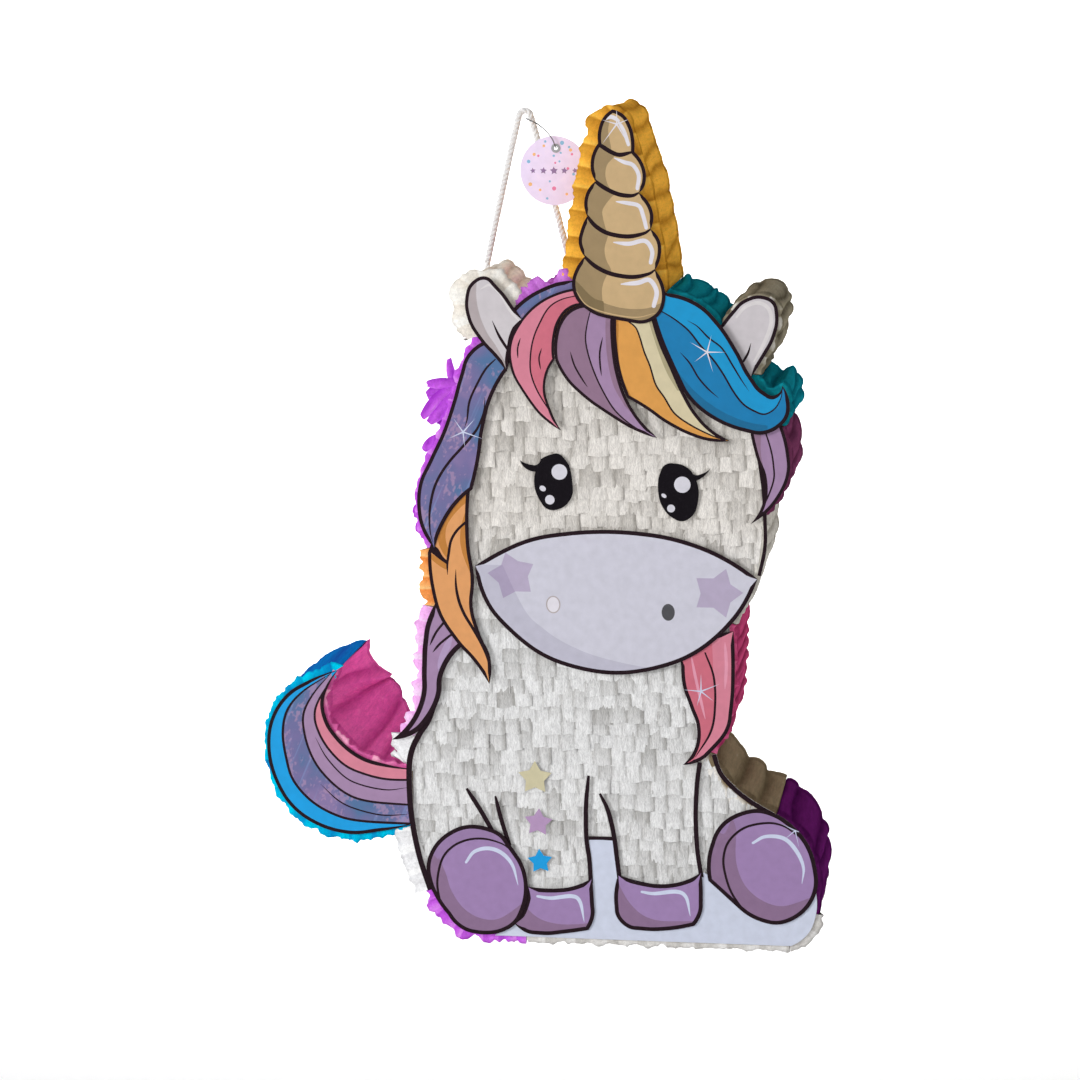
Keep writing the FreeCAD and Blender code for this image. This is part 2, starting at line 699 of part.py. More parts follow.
def eyelet():
    """The tag's eyelet: a barrel with a lip on each face, turned about Y."""
    body = doc.addObject("PartDesign::Body", "tag_eyelet")
    sketch = body.newObject("Sketcher::SketchObject", "eyelet_profile")
    sketch.AttachmentSupport = [(plane_of(body, "XY_Plane"), "")]
    sketch.MapMode = "FlatFace"
    face = size("tag_thick") / 2 + 0.05
    lip = face + size("eye_lip")
    bore, barrel, flange = size("eye_bore"), size("eye_barrel"), size("eye_flange")
    profile = [(bore, -lip), (flange, -lip), (flange, -face), (barrel, -face), (barrel, face),
               (flange, face), (flange, lip), (bore, lip)]
    for start, end in zip(profile, profile[1:] + profile[:1]):
        sketch.addGeometry(Part.LineSegment(V(*start, 0), V(*end, 0)), False)
    turned = body.newObject("PartDesign::Revolution", "eyelet_turned")
    turned.Profile = sketch
    turned.ReferenceAxis = (sketch, ["V_Axis"])
    turned.Angle = 360
    body.setExpression("Placement.Base.x", "Sizes.eye_x - Sizes.hang_x")
    body.setExpression("Placement.Base.y", "Sizes.tag_y - Sizes.hang_y")
    body.setExpression("Placement.Base.z", "Sizes.eye_z - Sizes.hang_z")
    return keep(body, "tag_eyelet")


eyelet()

# ---------------------------------------------------------------- check and export
doc.recompute()
for thing in doc.Objects:
    if "Invalid" in thing.State or "Error" in thing.State:
        raise RuntimeError(f"{thing.Label} failed: {thing.State}")
for part in parts:
    if part.Shape.isNull() or not part.Shape.isValid() or not part.Shape.Solids:
        raise RuntimeError(f"{part.Label} has no valid solid")

os.makedirs("parts", exist_ok=True)
for part in parts:
    part.Shape.exportStep(f"parts/{part.Label}.step")
print(len(parts), "sub-parts written")
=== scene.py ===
"""A unicorn pinata: printed cards, crepe fringe and trims, rope loop and hang tag.

Flat art is drawn in millimetres in the front view: x to the right, z up from the base, and y back
from the front panel's face. spot() turns such a place into the frame's metres.
"""
import math
import random
from bisect import bisect_left
import bpy
import numpy as np
from mathutils import Matrix, Vector, noise
from mathutils.geometry import delaunay_2d_cdt


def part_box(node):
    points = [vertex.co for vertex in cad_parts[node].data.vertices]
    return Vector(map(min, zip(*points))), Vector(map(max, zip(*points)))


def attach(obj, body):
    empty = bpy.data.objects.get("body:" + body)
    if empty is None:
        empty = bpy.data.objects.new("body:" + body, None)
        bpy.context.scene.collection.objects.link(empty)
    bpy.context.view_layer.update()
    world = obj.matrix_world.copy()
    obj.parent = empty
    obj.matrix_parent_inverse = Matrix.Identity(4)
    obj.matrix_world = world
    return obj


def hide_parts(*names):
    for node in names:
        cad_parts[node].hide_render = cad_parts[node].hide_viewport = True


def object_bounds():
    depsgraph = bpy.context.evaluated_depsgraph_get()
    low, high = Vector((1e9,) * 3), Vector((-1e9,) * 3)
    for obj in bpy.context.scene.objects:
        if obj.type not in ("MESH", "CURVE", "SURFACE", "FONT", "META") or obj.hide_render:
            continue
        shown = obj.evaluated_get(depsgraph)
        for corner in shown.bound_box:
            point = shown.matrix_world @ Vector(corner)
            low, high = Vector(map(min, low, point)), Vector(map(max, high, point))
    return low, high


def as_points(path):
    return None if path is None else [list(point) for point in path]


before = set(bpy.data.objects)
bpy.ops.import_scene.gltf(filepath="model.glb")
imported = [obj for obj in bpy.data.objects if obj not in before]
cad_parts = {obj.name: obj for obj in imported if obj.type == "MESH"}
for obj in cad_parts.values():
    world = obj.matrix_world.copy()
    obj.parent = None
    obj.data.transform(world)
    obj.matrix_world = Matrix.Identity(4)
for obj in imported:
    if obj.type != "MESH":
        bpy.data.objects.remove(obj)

cad_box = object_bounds()
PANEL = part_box("front_panel")
LEFT = -256  # the front panel's left end in the drawing
DEPTH = 92  # from the front panel's face to the back panel's
MIDDEPTH = 46  # the plane of the rope


def spot(x, z, y=0.0):
    """A place in the drawing as a point of the frame."""
    low = PANEL[0]
    return Vector((low.x + (x - LEFT) / 1000, low.y + y / 1000, low.z + z / 1000))


def wander(*place):
    """A value that drifts smoothly between -1 and 1 as its place changes."""
    return noise.noise(Vector(place))


def grid(start, rows, wide):
    """The faces of a grid of points, numbered from start in rows."""
    return [[a, a + 1, a + wide + 1, a + wide] for row in range(rows - 1)
            for a in range(start + row * wide, start + row * wide + wide - 1)]


def drawn(point):
    """A point of the frame as a place in the drawing: (x, z, y)."""
    low = PANEL[0]
    return ((point.x - low.x) * 1000 + LEFT, (point.z - low.z) * 1000, (point.y - low.y) * 1000)


# ---------------------------------------------------------------- materials
CARD_TOOTH = (900, 900, 900)  # grain of smooth card, in waves to a metre
CARD_RELIEF = 0.00004
CREPE_GRAIN = (900, 900, 200)  # creases that run down each tab
SIDE_GRAIN = (520, 50, 520)  # creases that run from front to back
CREPE_RELIEF = 0.0006


def tone(r, g, b):
    """A screen colour, 0 to 255, as a linear one."""
    parts = [c / 255 for c in (r, g, b)]
    linear = [c / 12.92 if c <= 0.04045 else ((c + 0.055) / 1.055) ** 2.4 for c in parts]
    return (*linear, 1)


def grey(level):
    return (level, level, level, 1)


def shaded(color, factor):
    return (*[c * factor for c in color[:3]], 1)


class Nodes:
    """A short way to write a material's node tree."""

    def __init__(self, name):
        self.material = bpy.data.materials.new(name)
        self.material.use_nodes = True
        self.tree = self.material.node_tree
        self.shader = self.tree.nodes["Principled BSDF"]

    def add(self, kind, inputs, **settings):
        node = self.tree.nodes.new(kind)
        for key, value in settings.items():
            setattr(node, key, value)
        for socket, value in inputs.items():
            if isinstance(value, bpy.types.NodeSocket):
                self.tree.links.new(value, node.inputs[socket])
            else:
                node.inputs[socket].default_value = value
        return node

    def place(self, scale=(1, 1, 1), turn=(0, 0, 0)):
        """Object coordinates, turned and then scaled."""
        where = self.add("ShaderNodeTexCoord", {}).outputs["Object"]
        inputs = {"Vector": where, "Scale": [1 / k for k in scale], "Rotation": turn}
        return self.add("ShaderNodeMapping", inputs, vector_type="TEXTURE").outputs["Vector"]

    def noise(self, scale, detail=3, turn=(0, 0, 0), distortion=0.0):
        inputs = {"Vector": self.place(scale, turn), "Scale": 1.0, "Detail": detail,
                  "Distortion": distortion}
        return self.add("ShaderNodeTexNoise", inputs).outputs["Fac"]

    def ramp(self, fac, *stops):
        node = self.add("ShaderNodeValToRGB", {"Fac": fac})
        marks = node.color_ramp.elements
        while len(marks) < len(stops):
            marks.new(0.5)
        for mark, (at, color) in zip(marks, stops):
            mark.position = at
            mark.color = color
        return node.outputs["Color"]

    def mix(self, fac, a, b, blend="MIX"):
        inputs = {0: fac, 6: a, 7: b}
        return self.add("ShaderNodeMix", inputs, data_type="RGBA", blend_type=blend).outputs[2]

    def math(self, operation, a, b):
        return self.add("ShaderNodeMath", {0: a, 1: b}, operation=operation).outputs[0]

    def bump(self, height, distance, strength=1.0):
        inputs = {"Height": height, "Distance": distance, "Strength": strength}
        return self.add("ShaderNodeBump", inputs).outputs["Normal"]

    def finish(self, color, roughness, normal=None, **values):
        self.tree.links.new(color, self.shader.inputs["Base Color"])
        if normal:
            self.tree.links.new(normal, self.shader.inputs["Normal"])
        self.shader.inputs["Roughness"].default_value = roughness
        for socket, value in values.items():
            self.shader.inputs[socket.replace("_", " ")].default_value = value
        return self.material

    def finish_card(self, color, gloss):
        """Smooth, dull card."""
        normal = self.bump(self.noise(CARD_TOOTH), CARD_RELIEF)
        return self.finish(color, 0.5, normal, Specular_IOR_Level=gloss)


def ink(name, rgb):
    """Printed card: an even colour with the press's slight mottle."""
    n = Nodes(name)
    color = tone(*rgb)
    mottle = n.noise((160, 160, 160), detail=4)
    body = n.ramp(mottle, (0.3, shaded(color, 0.95)), (0.7, shaded(color, 1.04)))
    return n.finish_card(body, 0.1 if max(rgb) < 60 else 0.3)


def brushed_ink(name, turn):
    """Printed card with a watercolour sky: slate blue, blotted with teal and flecked with mauve,
    and long thin paler streaks."""
    n = Nodes(name)
    body = n.ramp(n.noise((34, 34, 34), detail=2, distortion=0.4),
                  (0.36, tone(80, 112, 156)), (0.48, tone(104, 108, 154)),
                  (0.6, tone(116, 108, 156)), (0.7, tone(134, 116, 162)))
    flecks = n.noise((400, 400, 280), detail=1.5, turn=turn)
    patch = n.noise((70, 70, 70), detail=1)
    where = n.math("ADD", flecks, patch)
    dots = n.ramp(n.math("MULTIPLY", where, 0.5), (0.53, grey(0)), (0.6, grey(0.55)))
    body = n.mix(dots, body, tone(176, 142, 176))
    strokes = n.noise((300, 300, 9), detail=1, turn=turn)
    wash = n.ramp(strokes, (0.6, grey(0)), (0.68, grey(0.35)))
    return n.finish_card(n.mix(wash, body, tone(130, 156, 208)), 0.3)


def crepe(name, light, dark, edge=None, grain=SIDE_GRAIN, gloss=0.0, relief=0.55, warm=None):
    """Crepe paper: fine creased grain. The mesh's shade attribute picks each point's tone from
    dark to light:
    a fringe tab's own random tone, with painted shade at its top and sides, and on the bands
    painted shade in the fold valleys, on the pleats and where a ruffle turns back to the wall.
    edge is the colour of a turned-in edge. Above the height warm, the paper is a little warmer."""
    n = Nodes(name)
    shade = n.add("ShaderNodeAttribute", {}, attribute_name="shade").outputs["Fac"]
    body = n.ramp(shade, (0, tone(*dark)), (0.8, tone(*light)), (0.96, tone(*(edge or light))))
    broad = n.noise(grain, detail=3, distortion=0.6)
    thin = n.noise([g * 3.2 for g in grain], detail=2, distortion=0.3)
    for creases, low, high in ((broad, 0.8, 1.08), (thin, 0.86, 1.06)):
        streaks = n.ramp(creases, (0.32, grey(1 - (1 - low) * relief)), (0.66, grey(high)))
        body = n.mix(1.0, body, streaks, "MULTIPLY")
    if warm:
        level = n.add("ShaderNodeSeparateXYZ", {0: n.place()}).outputs["Z"]
        inputs = {0: level, 1: warm - 0.04, 2: warm + 0.04}
        above = n.add("ShaderNodeMapRange", inputs).outputs[0]
        body = n.mix(1.0, body, n.mix(above, grey(1), (1, 0.955, 0.9, 1)), "MULTIPLY")
    normal = n.bump(n.math("ADD", broad, thin), CREPE_RELIEF * relief, 0.9)
    return n.finish(body, 0.75, normal, Specular_IOR_Level=gloss)


PRINTED = {
    "line": (34, 18, 26), "pupil": (14, 8, 16), "eye_gleam": (213, 211, 220),
    "gleam": (224, 220, 228), "horn": (200, 170, 125), "horn_dark": (156, 133, 96),
    "horn_deep": (126, 107, 73), "ear": (204, 198, 202), "ear_dark": (177, 166, 168),
    "ear_light": (218, 213, 214), "violet": None, "pink": (212, 128, 148),
    "pink_light": (224, 152, 174), "pink_dark": (204, 106, 125), "lilac": (162, 132, 168),
    "lilac_dark": (143, 112, 137), "lilac_light": (176, 152, 190), "gold": (219, 155, 75),
    "gold_dark": (183, 122, 48), "cream": (212, 200, 165), "cream_dark": (172, 161, 127),
    "blue": (0, 148, 205), "blue_dark": (0, 122, 178), "blue_deep": (0, 104, 150),
    "cyan": (0, 156, 224), "orange": (222, 156, 98), "orange_light": (232, 166, 108),
    "orange_dark": (190, 124, 52), "muzzle": (204, 203, 216), "muzzle_dark": (189, 187, 203),
    "cheek": (180, 168, 194), "cheek_dark": (168, 156, 184), "nostril": (76, 75, 80),
    "hoof": (157, 128, 176), "hoof_side": (150, 122, 166), "hoof_dark": (138, 109, 142),
    "hoof_gleam": (205, 212, 235), "ground": (206, 212, 230), "star_cream": (205, 197, 163),
    "star_lilac": (180, 148, 188), "tag": (240, 226, 255), "dot_blue": (140, 190, 224),
    "dot_gold": (246, 190, 130), "dot_pink": (232, 132, 172),
}
INKS = {name: ink("ink_" + name, rgb) if rgb else brushed_ink("ink_" + name, (0, 0.42, 0))
        for name, rgb in PRINTED.items()}
INKS["stock"] = ink("card_stock", (232, 230, 226))


# ---------------------------------------------------------------- flat drawing
def path(text):
    """Points written as "x,z x,z"."""
    return [tuple(map(float, point.split(","))) for point in text.split()]


def smooth(points, step=2.0):
    """A smooth line through points, or through a path's, as closely spaced points."""
    points = [Vector(p) for p in (path(points) if isinstance(points, str) else points)]
    if len(points) < 3:
        return points
    ends = [points[0] * 2 - points[1]] + points + [points[-1] * 2 - points[-2]]
    line = [points[0]]
    for a, b, c, d in zip(ends, ends[1:], ends[2:], ends[3:]):
        count = max(1, round((c - b).length / step))
        for k in range(1, count + 1):
            t = k / count
            line.append((b * 2 + (c - a) * t + (a * 2 - b * 5 + c * 4 - d) * t ** 2
                         + (b * 3 - a - c * 3 + d) * t ** 3) / 2)
    return line


def area(loop):
    return sum(a[0] * b[1] - b[0] * a[1] for a, b in zip(loop, loop[1:] + loop[:1])) / 2


def counter_clockwise(loop):
    return loop if area(loop) > 0 else loop[::-1]


def around(loop):
    """Each point of a loop with the one before it and the one after."""
    return zip(loop[-1:] + loop[:-1], loop, loop[1:] + loop[:1])


def distances(line):
    """How far along a line each of its points is."""
    marks = [0.0]
    for a, b in zip(line, line[1:]):
        marks.append(marks[-1] + (b - a).length)
    return marks


def heading(line, i):
    return (line[min(i + 1, len(line) - 1)] - line[max(i - 1, 0)]).normalized()


def shape(*spans):
    """A closed outline of smooth spans with corners between them."""
    loop = []
    for span in spans:
        loop += smooth(span)
    return [counter_clockwise(loop)]


def disc(x, z, rx, rz=None, turn=0.0, count=24):
    rz = rz or rx
    loop = []
    for k in range(count):
        a = 2 * math.pi * k / count
        p, q = rx * math.cos(a), rz * math.sin(a)
        loop.append(Vector((x + p * math.cos(turn) - q * math.sin(turn),
                            z + p * math.sin(turn) + q * math.cos(turn))))
    return loop


def stroke(points, width, start, end, taper=0.3):
    """A brush stroke along a smooth line. start and end are its ends' shares of the width, and
    taper is the share of its length over which it thins."""
    line = smooth(points, 1.5)
    length = distances(line)
    sides = []
    for i, p in enumerate(line):
        way = heading(line, i)
        t = length[i] / length[-1]
        near, far = min(1, t / taper), min(1, (1 - t) / taper)
        size = min(start + (1 - start) * near * (2 - near), end + (1 - end) * far * (2 - far))
        side = Vector((-way.y, way.x)) * (width * size / 2)
        sides.append((p + side, p - side))
    quads = [counter_clockwise([b, d, c, a]) for (a, b), (c, d) in zip(sides, sides[1:])]
    for tip, size in ((line[0], start), (line[-1], end)):
        if size > 0.5:
            quads.append(disc(*tip, width * size / 2, count=14))
    return quads


def spark(text, width=1.1):
    """A twinkle: thin points from a centre, which comes first in the path."""
    centre, *tips = [Vector(p) for p in path(text)]
    rays = [disc(*centre, width * 0.75, count=12)]
    for tip in tips:
        way = (tip - centre).normalized()
        side = Vector((-way.y, way.x)) * width / 2
        rays.append([centre - side, tip, centre + side])
    return rays


def star(x, z, reach, turn):
    loop = []
    for k in range(10):
        a = math.radians(90 + turn + 36 * k)
        r = reach / 2 if k % 2 else reach
        loop.append(Vector((x + r * math.cos(a), z + r * math.sin(a))))
    return loop


def border(loops, width, fade):
    """A dark line inside each outline, thinner near its sharp corners."""
    quads = []
    for loop in loops:
        *lengths, total = distances(loop + loop[:1])
        ways = [((b - a).normalized(), (c - b).normalized()) for a, b, c in around(loop)]
        sharp = [at for at, (into, out) in zip(lengths, ways) if into.dot(out) < 0.6]
        inner = []
        for p, at, (into, out) in zip(loop, lengths, ways):
            mean = (into + out).normalized()
            near = min([min(abs(at - s), total - abs(at - s)) for s in sharp] + [99])
            size = width * min(1, 0.12 + near / fade)
            inner.append(p + Vector((-mean.y, mean.x)) * size)
        for quad in zip(loop, loop[1:] + loop[:1], inner[1:] + inner[:1], inner):
            quads.append(counter_clockwise(list(quad)))
    return quads


def front_loops(node):
    """The outlines of a flat CAD node's front face, counter-clockwise, in the drawing."""
    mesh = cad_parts[node].data
    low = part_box(node)[0].y
    keys = [(round(v.co.x, 6), round(v.co.z, 6)) if v.co.y < low + 2e-5 else None
            for v in mesh.vertices]
    edges = set()
    for face in mesh.polygons:
        ring = [keys[i] for i in face.vertices]
        if None in ring:
            continue
        for a, b in zip(ring, ring[1:] + ring[:1]):
            if (b, a) in edges:
                edges.remove((b, a))
            elif a != b:
                edges.add((a, b))
    ahead = dict(edges)
    loops = []
    while ahead:
        start, here = ahead.popitem()
        loop = [start]
        while here != start:
            loop.append(here)
            here = ahead.pop(here)
        points = [Vector(drawn(Vector((x, low, z)))[:2]) for x, z in loop]
        loops.append(counter_clockwise(points))
    return sorted(loops, key=lambda one: -abs(area(one)))


def grown(node, size):
    """A flat CAD node's outlines, let out by a little to meet the next card."""
    result = []
    for loop in front_loops(node):
        wider = []
        for a, b, c in around(loop):
            way = ((b - a).normalized() + (c - b).normalized()).normalized()
            wider.append(b + Vector((way.y, -way.x)) * size)
        result.append(wider)
    return result


def stand_in(piece, node, body):
    """Ties a piece to its body and hides the CAD node it stands for."""
    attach(piece, body)
    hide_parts(node)


def new_piece(name, verts, faces, materials, picks=None, soft=True, shades=None):
    """A mesh in the scene. picks is each face's material and shades each point's tone."""
    mesh = bpy.data.meshes.new(name)
    mesh.from_pydata(verts, [], faces)
    for material in materials:
        mesh.materials.append(material)
    if picks:
        mesh.polygons.foreach_set("material_index", picks)
    mesh.update()
    if soft:
        mesh.polygons.foreach_set("use_smooth", [True] * len(faces))
    if shades:
        shade = mesh.attributes.new("shade", "FLOAT", "POINT")
        shade.data.foreach_set("value", shades)
    piece = bpy.data.objects.new(name, mesh)
    bpy.context.scene.collection.objects.link(piece)
    return piece


def card(node, base, *layers, line=2.6, fade=9.0, above=(), body="shell", holes=(), loops=None,
         ahead=0.0):
    """A printed card in a CAD card's place. Each layer is (ink, outlines), painted over the last,
    or ({ink: darker ink}, outlines), which shades what is below it. line is the width of the dark
    border, fade how far from a corner it thins, above what is painted over the border, and ahead
    how far the card stands in front of the CAD one."""
    loops = loops or front_loops(node)
    low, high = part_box(node)
    front = drawn(low)[2] - ahead
    thick = (high.y - low.y) * 1000
    painted = [(base, [one for one in loops if one not in holes]), *layers]
    if line:
        painted.append(("line", border(loops, line, fade)))
    painted += above
    cut = [(index, outlines) for index, (_, outlines) in enumerate(painted)] + [(-1, holes)]
    points, faces, owner = [], [], []
    for index, outlines in cut:
        for outline in outlines:
            faces.append(list(range(len(points), len(points) + len(outline))))
            points += [Vector(p[:2]) for p in outline]
            owner.append(index)
    flat, _, tris, _, _, origin = delaunay_2d_cdt(points, [], faces, 0, 1e-3, True)
    names = list(INKS)
    verts = [spot(p.x, p.y, front) for p in flat]
    made, picks = [], []
    for tri, sources in zip(tris, origin):
        owners = {owner[s] for s in sources}
        if 0 not in owners or -1 in owners:
            continue
        color = base
        for layer in sorted(owners):
            name = painted[layer][0]
            color = name.get(color, color) if isinstance(name, dict) else name
        made.append(list(tri) if area([flat[i] for i in tri]) > 0 else list(tri)[::-1])
        picks.append(names.index(color))
    stock = names.index("stock")
    # Painted shade: a bordered card's cut edge takes the dark line ink, so the gap round the card
    # reads as shadow.
    edge = names.index("line") if line else stock
    back = len(verts)
    verts += [spot(p.x, p.y, front + thick) for p in flat]
    for ring in made[:]:
        made.append([back + i for i in ring[::-1]])
        picks.append(stock)
    for loop in [*loops, *holes]:
        start, count = len(verts), len(loop)
        verts += [spot(p.x, p.y, y) for y in (front, front + thick) for p in loop]
        for i in range(count):
            j = (i + 1) % count
            made.append([start + i, start + count + i, start + count + j, start + j])
            picks.append(edge)
    used = sorted(set(picks))
    piece = new_piece("print_" + node, verts, made, [INKS[names[k]] for k in used],
                      [used.index(k) for k in picks], soft=False)
    stand_in(piece, node, body)


# ---------------------------------------------------------------- horn
RINGS = [path(text) for text in (
    "-9,572 -5,569 0,566 6,564 15,566",
    "-11,546 -4,541 5,537 14,536 19,538",
    "-17,522 -11,515 -2,510 11,508 22,510 27,513",
    "-19,494 -11,487 0,482 14,480 25,482 30,485",
)]
SHADES = [
    "-2,597 -1,588 -2,580 0,569 0,566",
    "0,566 2,563 -3,557 -4,549 -1,541 5,537",
    "5,537 1,536 -6,527 -6,521 -4,513 -2,510",
    "-2,510 -5,500 -4,492 -1,486 0,482",
    "0,482 -3,482 -7,472 -6,457 -4,446",
]
BAND = path("-30,478 -25,477 -14,466 4,459 22,458 34,462 40,466")
horn_shade = []
for (above, *_), shade, (below, *_) in zip([[(-20, 600)]] + RINGS, SHADES, RINGS + [[(-40, 446)]]):
    horn_shade += shape(smooth(shade), [below, (-40, below[1])], [(-40, above[1]), above])
card(
    "horn", "horn",
    ("horn_dark", horn_shade),
    ("horn_dark", shape(BAND, "40,440 -40,440")),
    ("horn_deep", shape(BAND[:3] + [(-6, 463)], "-5,444 -40,440")),
    ("line", [quad for ring in RINGS
              for quad in stroke([(ring[0][0] - 3, ring[0][1] + 4)] + ring, 3.0, 0.3, 0.4)]),
    ("gleam", stroke("5,587 9,580 12,571", 2.6, 0.3, 0.9)
     + stroke("-6,588 0,590 6,587", 2.8, 0.2, 0.4)
     + stroke("2,562 9,559 15,557 19,550 18,541", 2.8, 0.2, 0.9)
     + stroke("3,532 11,531 19,529 22,522 24,514", 2.8, 0.2, 0.9)
     + stroke("1,504 12,503 23,505 28,498 27,490", 3.0, 0.2, 0.9)
     + stroke("6,475 18,476 26,478 31,470 29,460", 3.2, 0.2, 0.9)),
    above=[("horn", stroke("-25,470 -18,460.5 -4,455 16,452 30,455", 0.8, 0.3, 0.3)),
           ("gleam", spark("4,585 4,596 13,588.5 -6.5,588 -6.5,571 12,571"))],
    line=2.4, fade=5,
)

# ---------------------------------------------------------------- ears
card(
    "ear_left", "ear",
    ("ear_dark", shape("-95,482 -96,467 -94,454 -89,441 -83,432 -75,418",
                       "-75,405 -120,430 -115,482")),
    ("ear_light", stroke("-93,471 -86,474 -79,468 -72,456 -66,449", 2.2, 0.2, 0.2)),
    ("line", stroke("-85,449 -80,438 -73,427", 2.2, 0.1, 0.8, 0.8)),
    line=2.4,
)
card(
    "ear_right", "ear",
    ("ear_light", stroke("86,452 92,459 101,462 108,458 110,449 106,436 98,421",
                         2.6, 0.6, 0.3)),
    ("line", stroke("96,434 94,427 90,420", 1.8, 0.1, 0.8, 0.8)),
    line=2.4,
)

# ---------------------------------------------------------------- mane cards
card(
    "side_lock", "violet",
    ("line", stroke("-83,422 -90,415 -96,405 -102,392 -104,379 -106,373", 1.6, 0.5, 0.1)
     + stroke("-91,395 -92,385 -96,374 -101,367 -108,359 -117,349 -124,339 -129,328 -132,313 "
              "-132,299 -130,290", 1.9, 0.1, 0.1)),
    above=[("hoof_gleam", spark("-107,370 -114,380 -98,380 -92,365 -106,359 -118,365"))],
    line=2.6,
)
FOLD = "-36,464 -45,458 -52,446 -56,436 -58,425 -58,413 -54,401 -47,389"
card(
    "forelock_pink", "pink",
    ("pink_dark", shape(f"-27,467 {FOLD} -37,374", "-20,380 -20,480")),
    ("line", stroke(f"-24,467 {FOLD} -40,379", 1.1, 0.5, 0.4)
     + stroke("-65,437 -67,430 -67,423", 1.1, 0.1, 0.3)
     + stroke("-50,430 -52,423 -51,415", 1.1, 0.1, 0.3)),
    line=1.7, fade=10,
)
FOLD = "-18,446 -19,436 -17,425 -13,413 -7,400 1,387 12,377"
card(
    "forelock_lilac", "lilac",
    ("lilac_dark", shape(f"-15,462 {FOLD} 26,369", "-20,360 -60,400 -50,465")),
    ("lilac_dark", shape("-4,462 -5,445 -4,425 0,405 8,390", "22,376 10,420 8,462")),
    ("line", stroke(f"-15,458 {FOLD} 24,370", 1.1, 0.6, 0.5)
     + stroke("-30,428 -27,418 -22,409 -18,403", 1.2, 0.1, 0.2)
     + stroke("-7,438 -9,428 -9,420 -8,411", 1.3, 0.1, 0.2)),
    line=2.1, fade=10, loops=grown("forelock_lilac", 0.6), ahead=0.25,
)
DIVIDE = path("8,455 10,450 16,445 19,438 22,428 26,418 30,405 36,396 43,385 54,377 68,370 79,366")
card(
    "forelock_gold", "gold",
    ("cream", shape(DIVIDE, "80,372 50,420 35,465 8,465")),
    ("cream_dark", shape("22,462 25,450 32,428 38,413 45,401", "55,400 40,440 34,465")),
    ("gold_dark", shape("0,462 4,450 4,430 6,412 14,394", "4,394 -4,462")),
    ("cream_dark", shape("12,453 30,452", "30,465 8,465")),
    ("line", stroke(DIVIDE, 1.2, 0.7, 0.6)),
    line=2.2, fade=10, loops=grown("forelock_gold", 0.4), ahead=0.12,
)
WAVE = path("33,457 43,451 53,443 61,433 70,423 77,413 84,401 91,392 99,387 106,385 113,389 "
            "117,396 118,401")
card(
    "forelock_blue", "blue",
    ("blue_dark", shape(WAVE, "118,407 135,390 118,360 60,365 20,440 24,470")),
    ("blue_deep", shape("44,416 58,400 74,388 92,380 108,377", "108,366 60,366 36,400")),
    ("line", stroke(WAVE, 1.3, 0.6, 0.4)
     + stroke("52,450 59,446 67,438 76,431 83,420 89,410 95,401", 1.2, 0.1, 0.1)
     + stroke("47,428 54,420 60,410 67,402 74,396", 1.2, 0.1, 0.1)),
    above=[("gleam", spark("66,428 69,440 79,428 70,414 57,421 54,435"))],
    line=2.6, fade=12,
)
card(
    "lock_lilac_right", "lilac",
    ("lilac_dark", shape("105,390 103,360 106,340 104,322", "94,300 90,390")),
    ("line", stroke("105,376 110,360 112,348 112,338 107,324 100,312", 1.2, 0.7, 0.3)),
    line=2.2, fade=10,
)
card(
    "lock_pink_right", "pink_dark",
    ("pink", shape("68,240 70,197 71,176 67,155 56,136", "90,130 95,240")),
    ("pink_light", stroke("54,212 58,192 64,166", 2.0, 0.2, 0.2)
     + stroke("78,222 79,205 78,188", 2.2, 0.2, 0.2)),
    ("line", stroke("64,214 70,197 71,176 68,157 57,138", 1.6, 0.7, 0.2)),
    above=[("hoof_gleam", spark("61,186 61,199 75,192 70,179 58,175 48,187"))],
    line=2.6, fade=10,
)
card(
    "lock_orange", "orange",
    ("orange_dark", shape("-100,330 -113,319 -121.4,311.7 -126,301.8 -126.3,290.7 -122.6,282.1 "
                          "-119.5,278.4", "-118.9,284.6 -121,293.2 -120.1,301.8 -115.8,309.2 "
                          "-109,316.6 -100,324")),
    ("orange_dark", shape("-134,284 -119.5,274.1",
                          "-120.7,270.8 -125,272.9 -130.6,277.2 -134,281")),
    ("line", shape("-136,288 -130,288 -126.5,286 -123.2,280.3 -119.2,276.6",
                   "-119.5,274.1 -125,277.8 -131.8,283.1 -136,287")),
    ("orange_dark", shape("-104,320 -110,300 -109,283 -99,258", "-96,280 -98,320")),
    ("orange_light", stroke("-96,240 -92,222 -88,203", 1.4, 0.3, 0.3)),
    ("line", stroke("-103,308 -112,300 -117,292 -119,282 -120,275 -120,267", 1.9, 0.8, 0.1)
     + stroke("-114,271 -114,259 -112,248 -108,238 -102,228 -96,217 -92,207 -90,196",
              2.2, 0.1, 0.3)),
    line=2.5, fade=10,
)
card(
    "lock_lilac_low", "lilac",
    ("lilac_light", stroke("-118,222 -125,206 -127,194", 5.0, 0.2, 0.1)),
    ("line", stroke("-121,235 -129,225 -134,215", 1.7, 0.9, 0.1)
     + stroke("-116,225 -126,217 -132,210", 1.7, 0.9, 0.1)),
    line=3.6, fade=12,
)

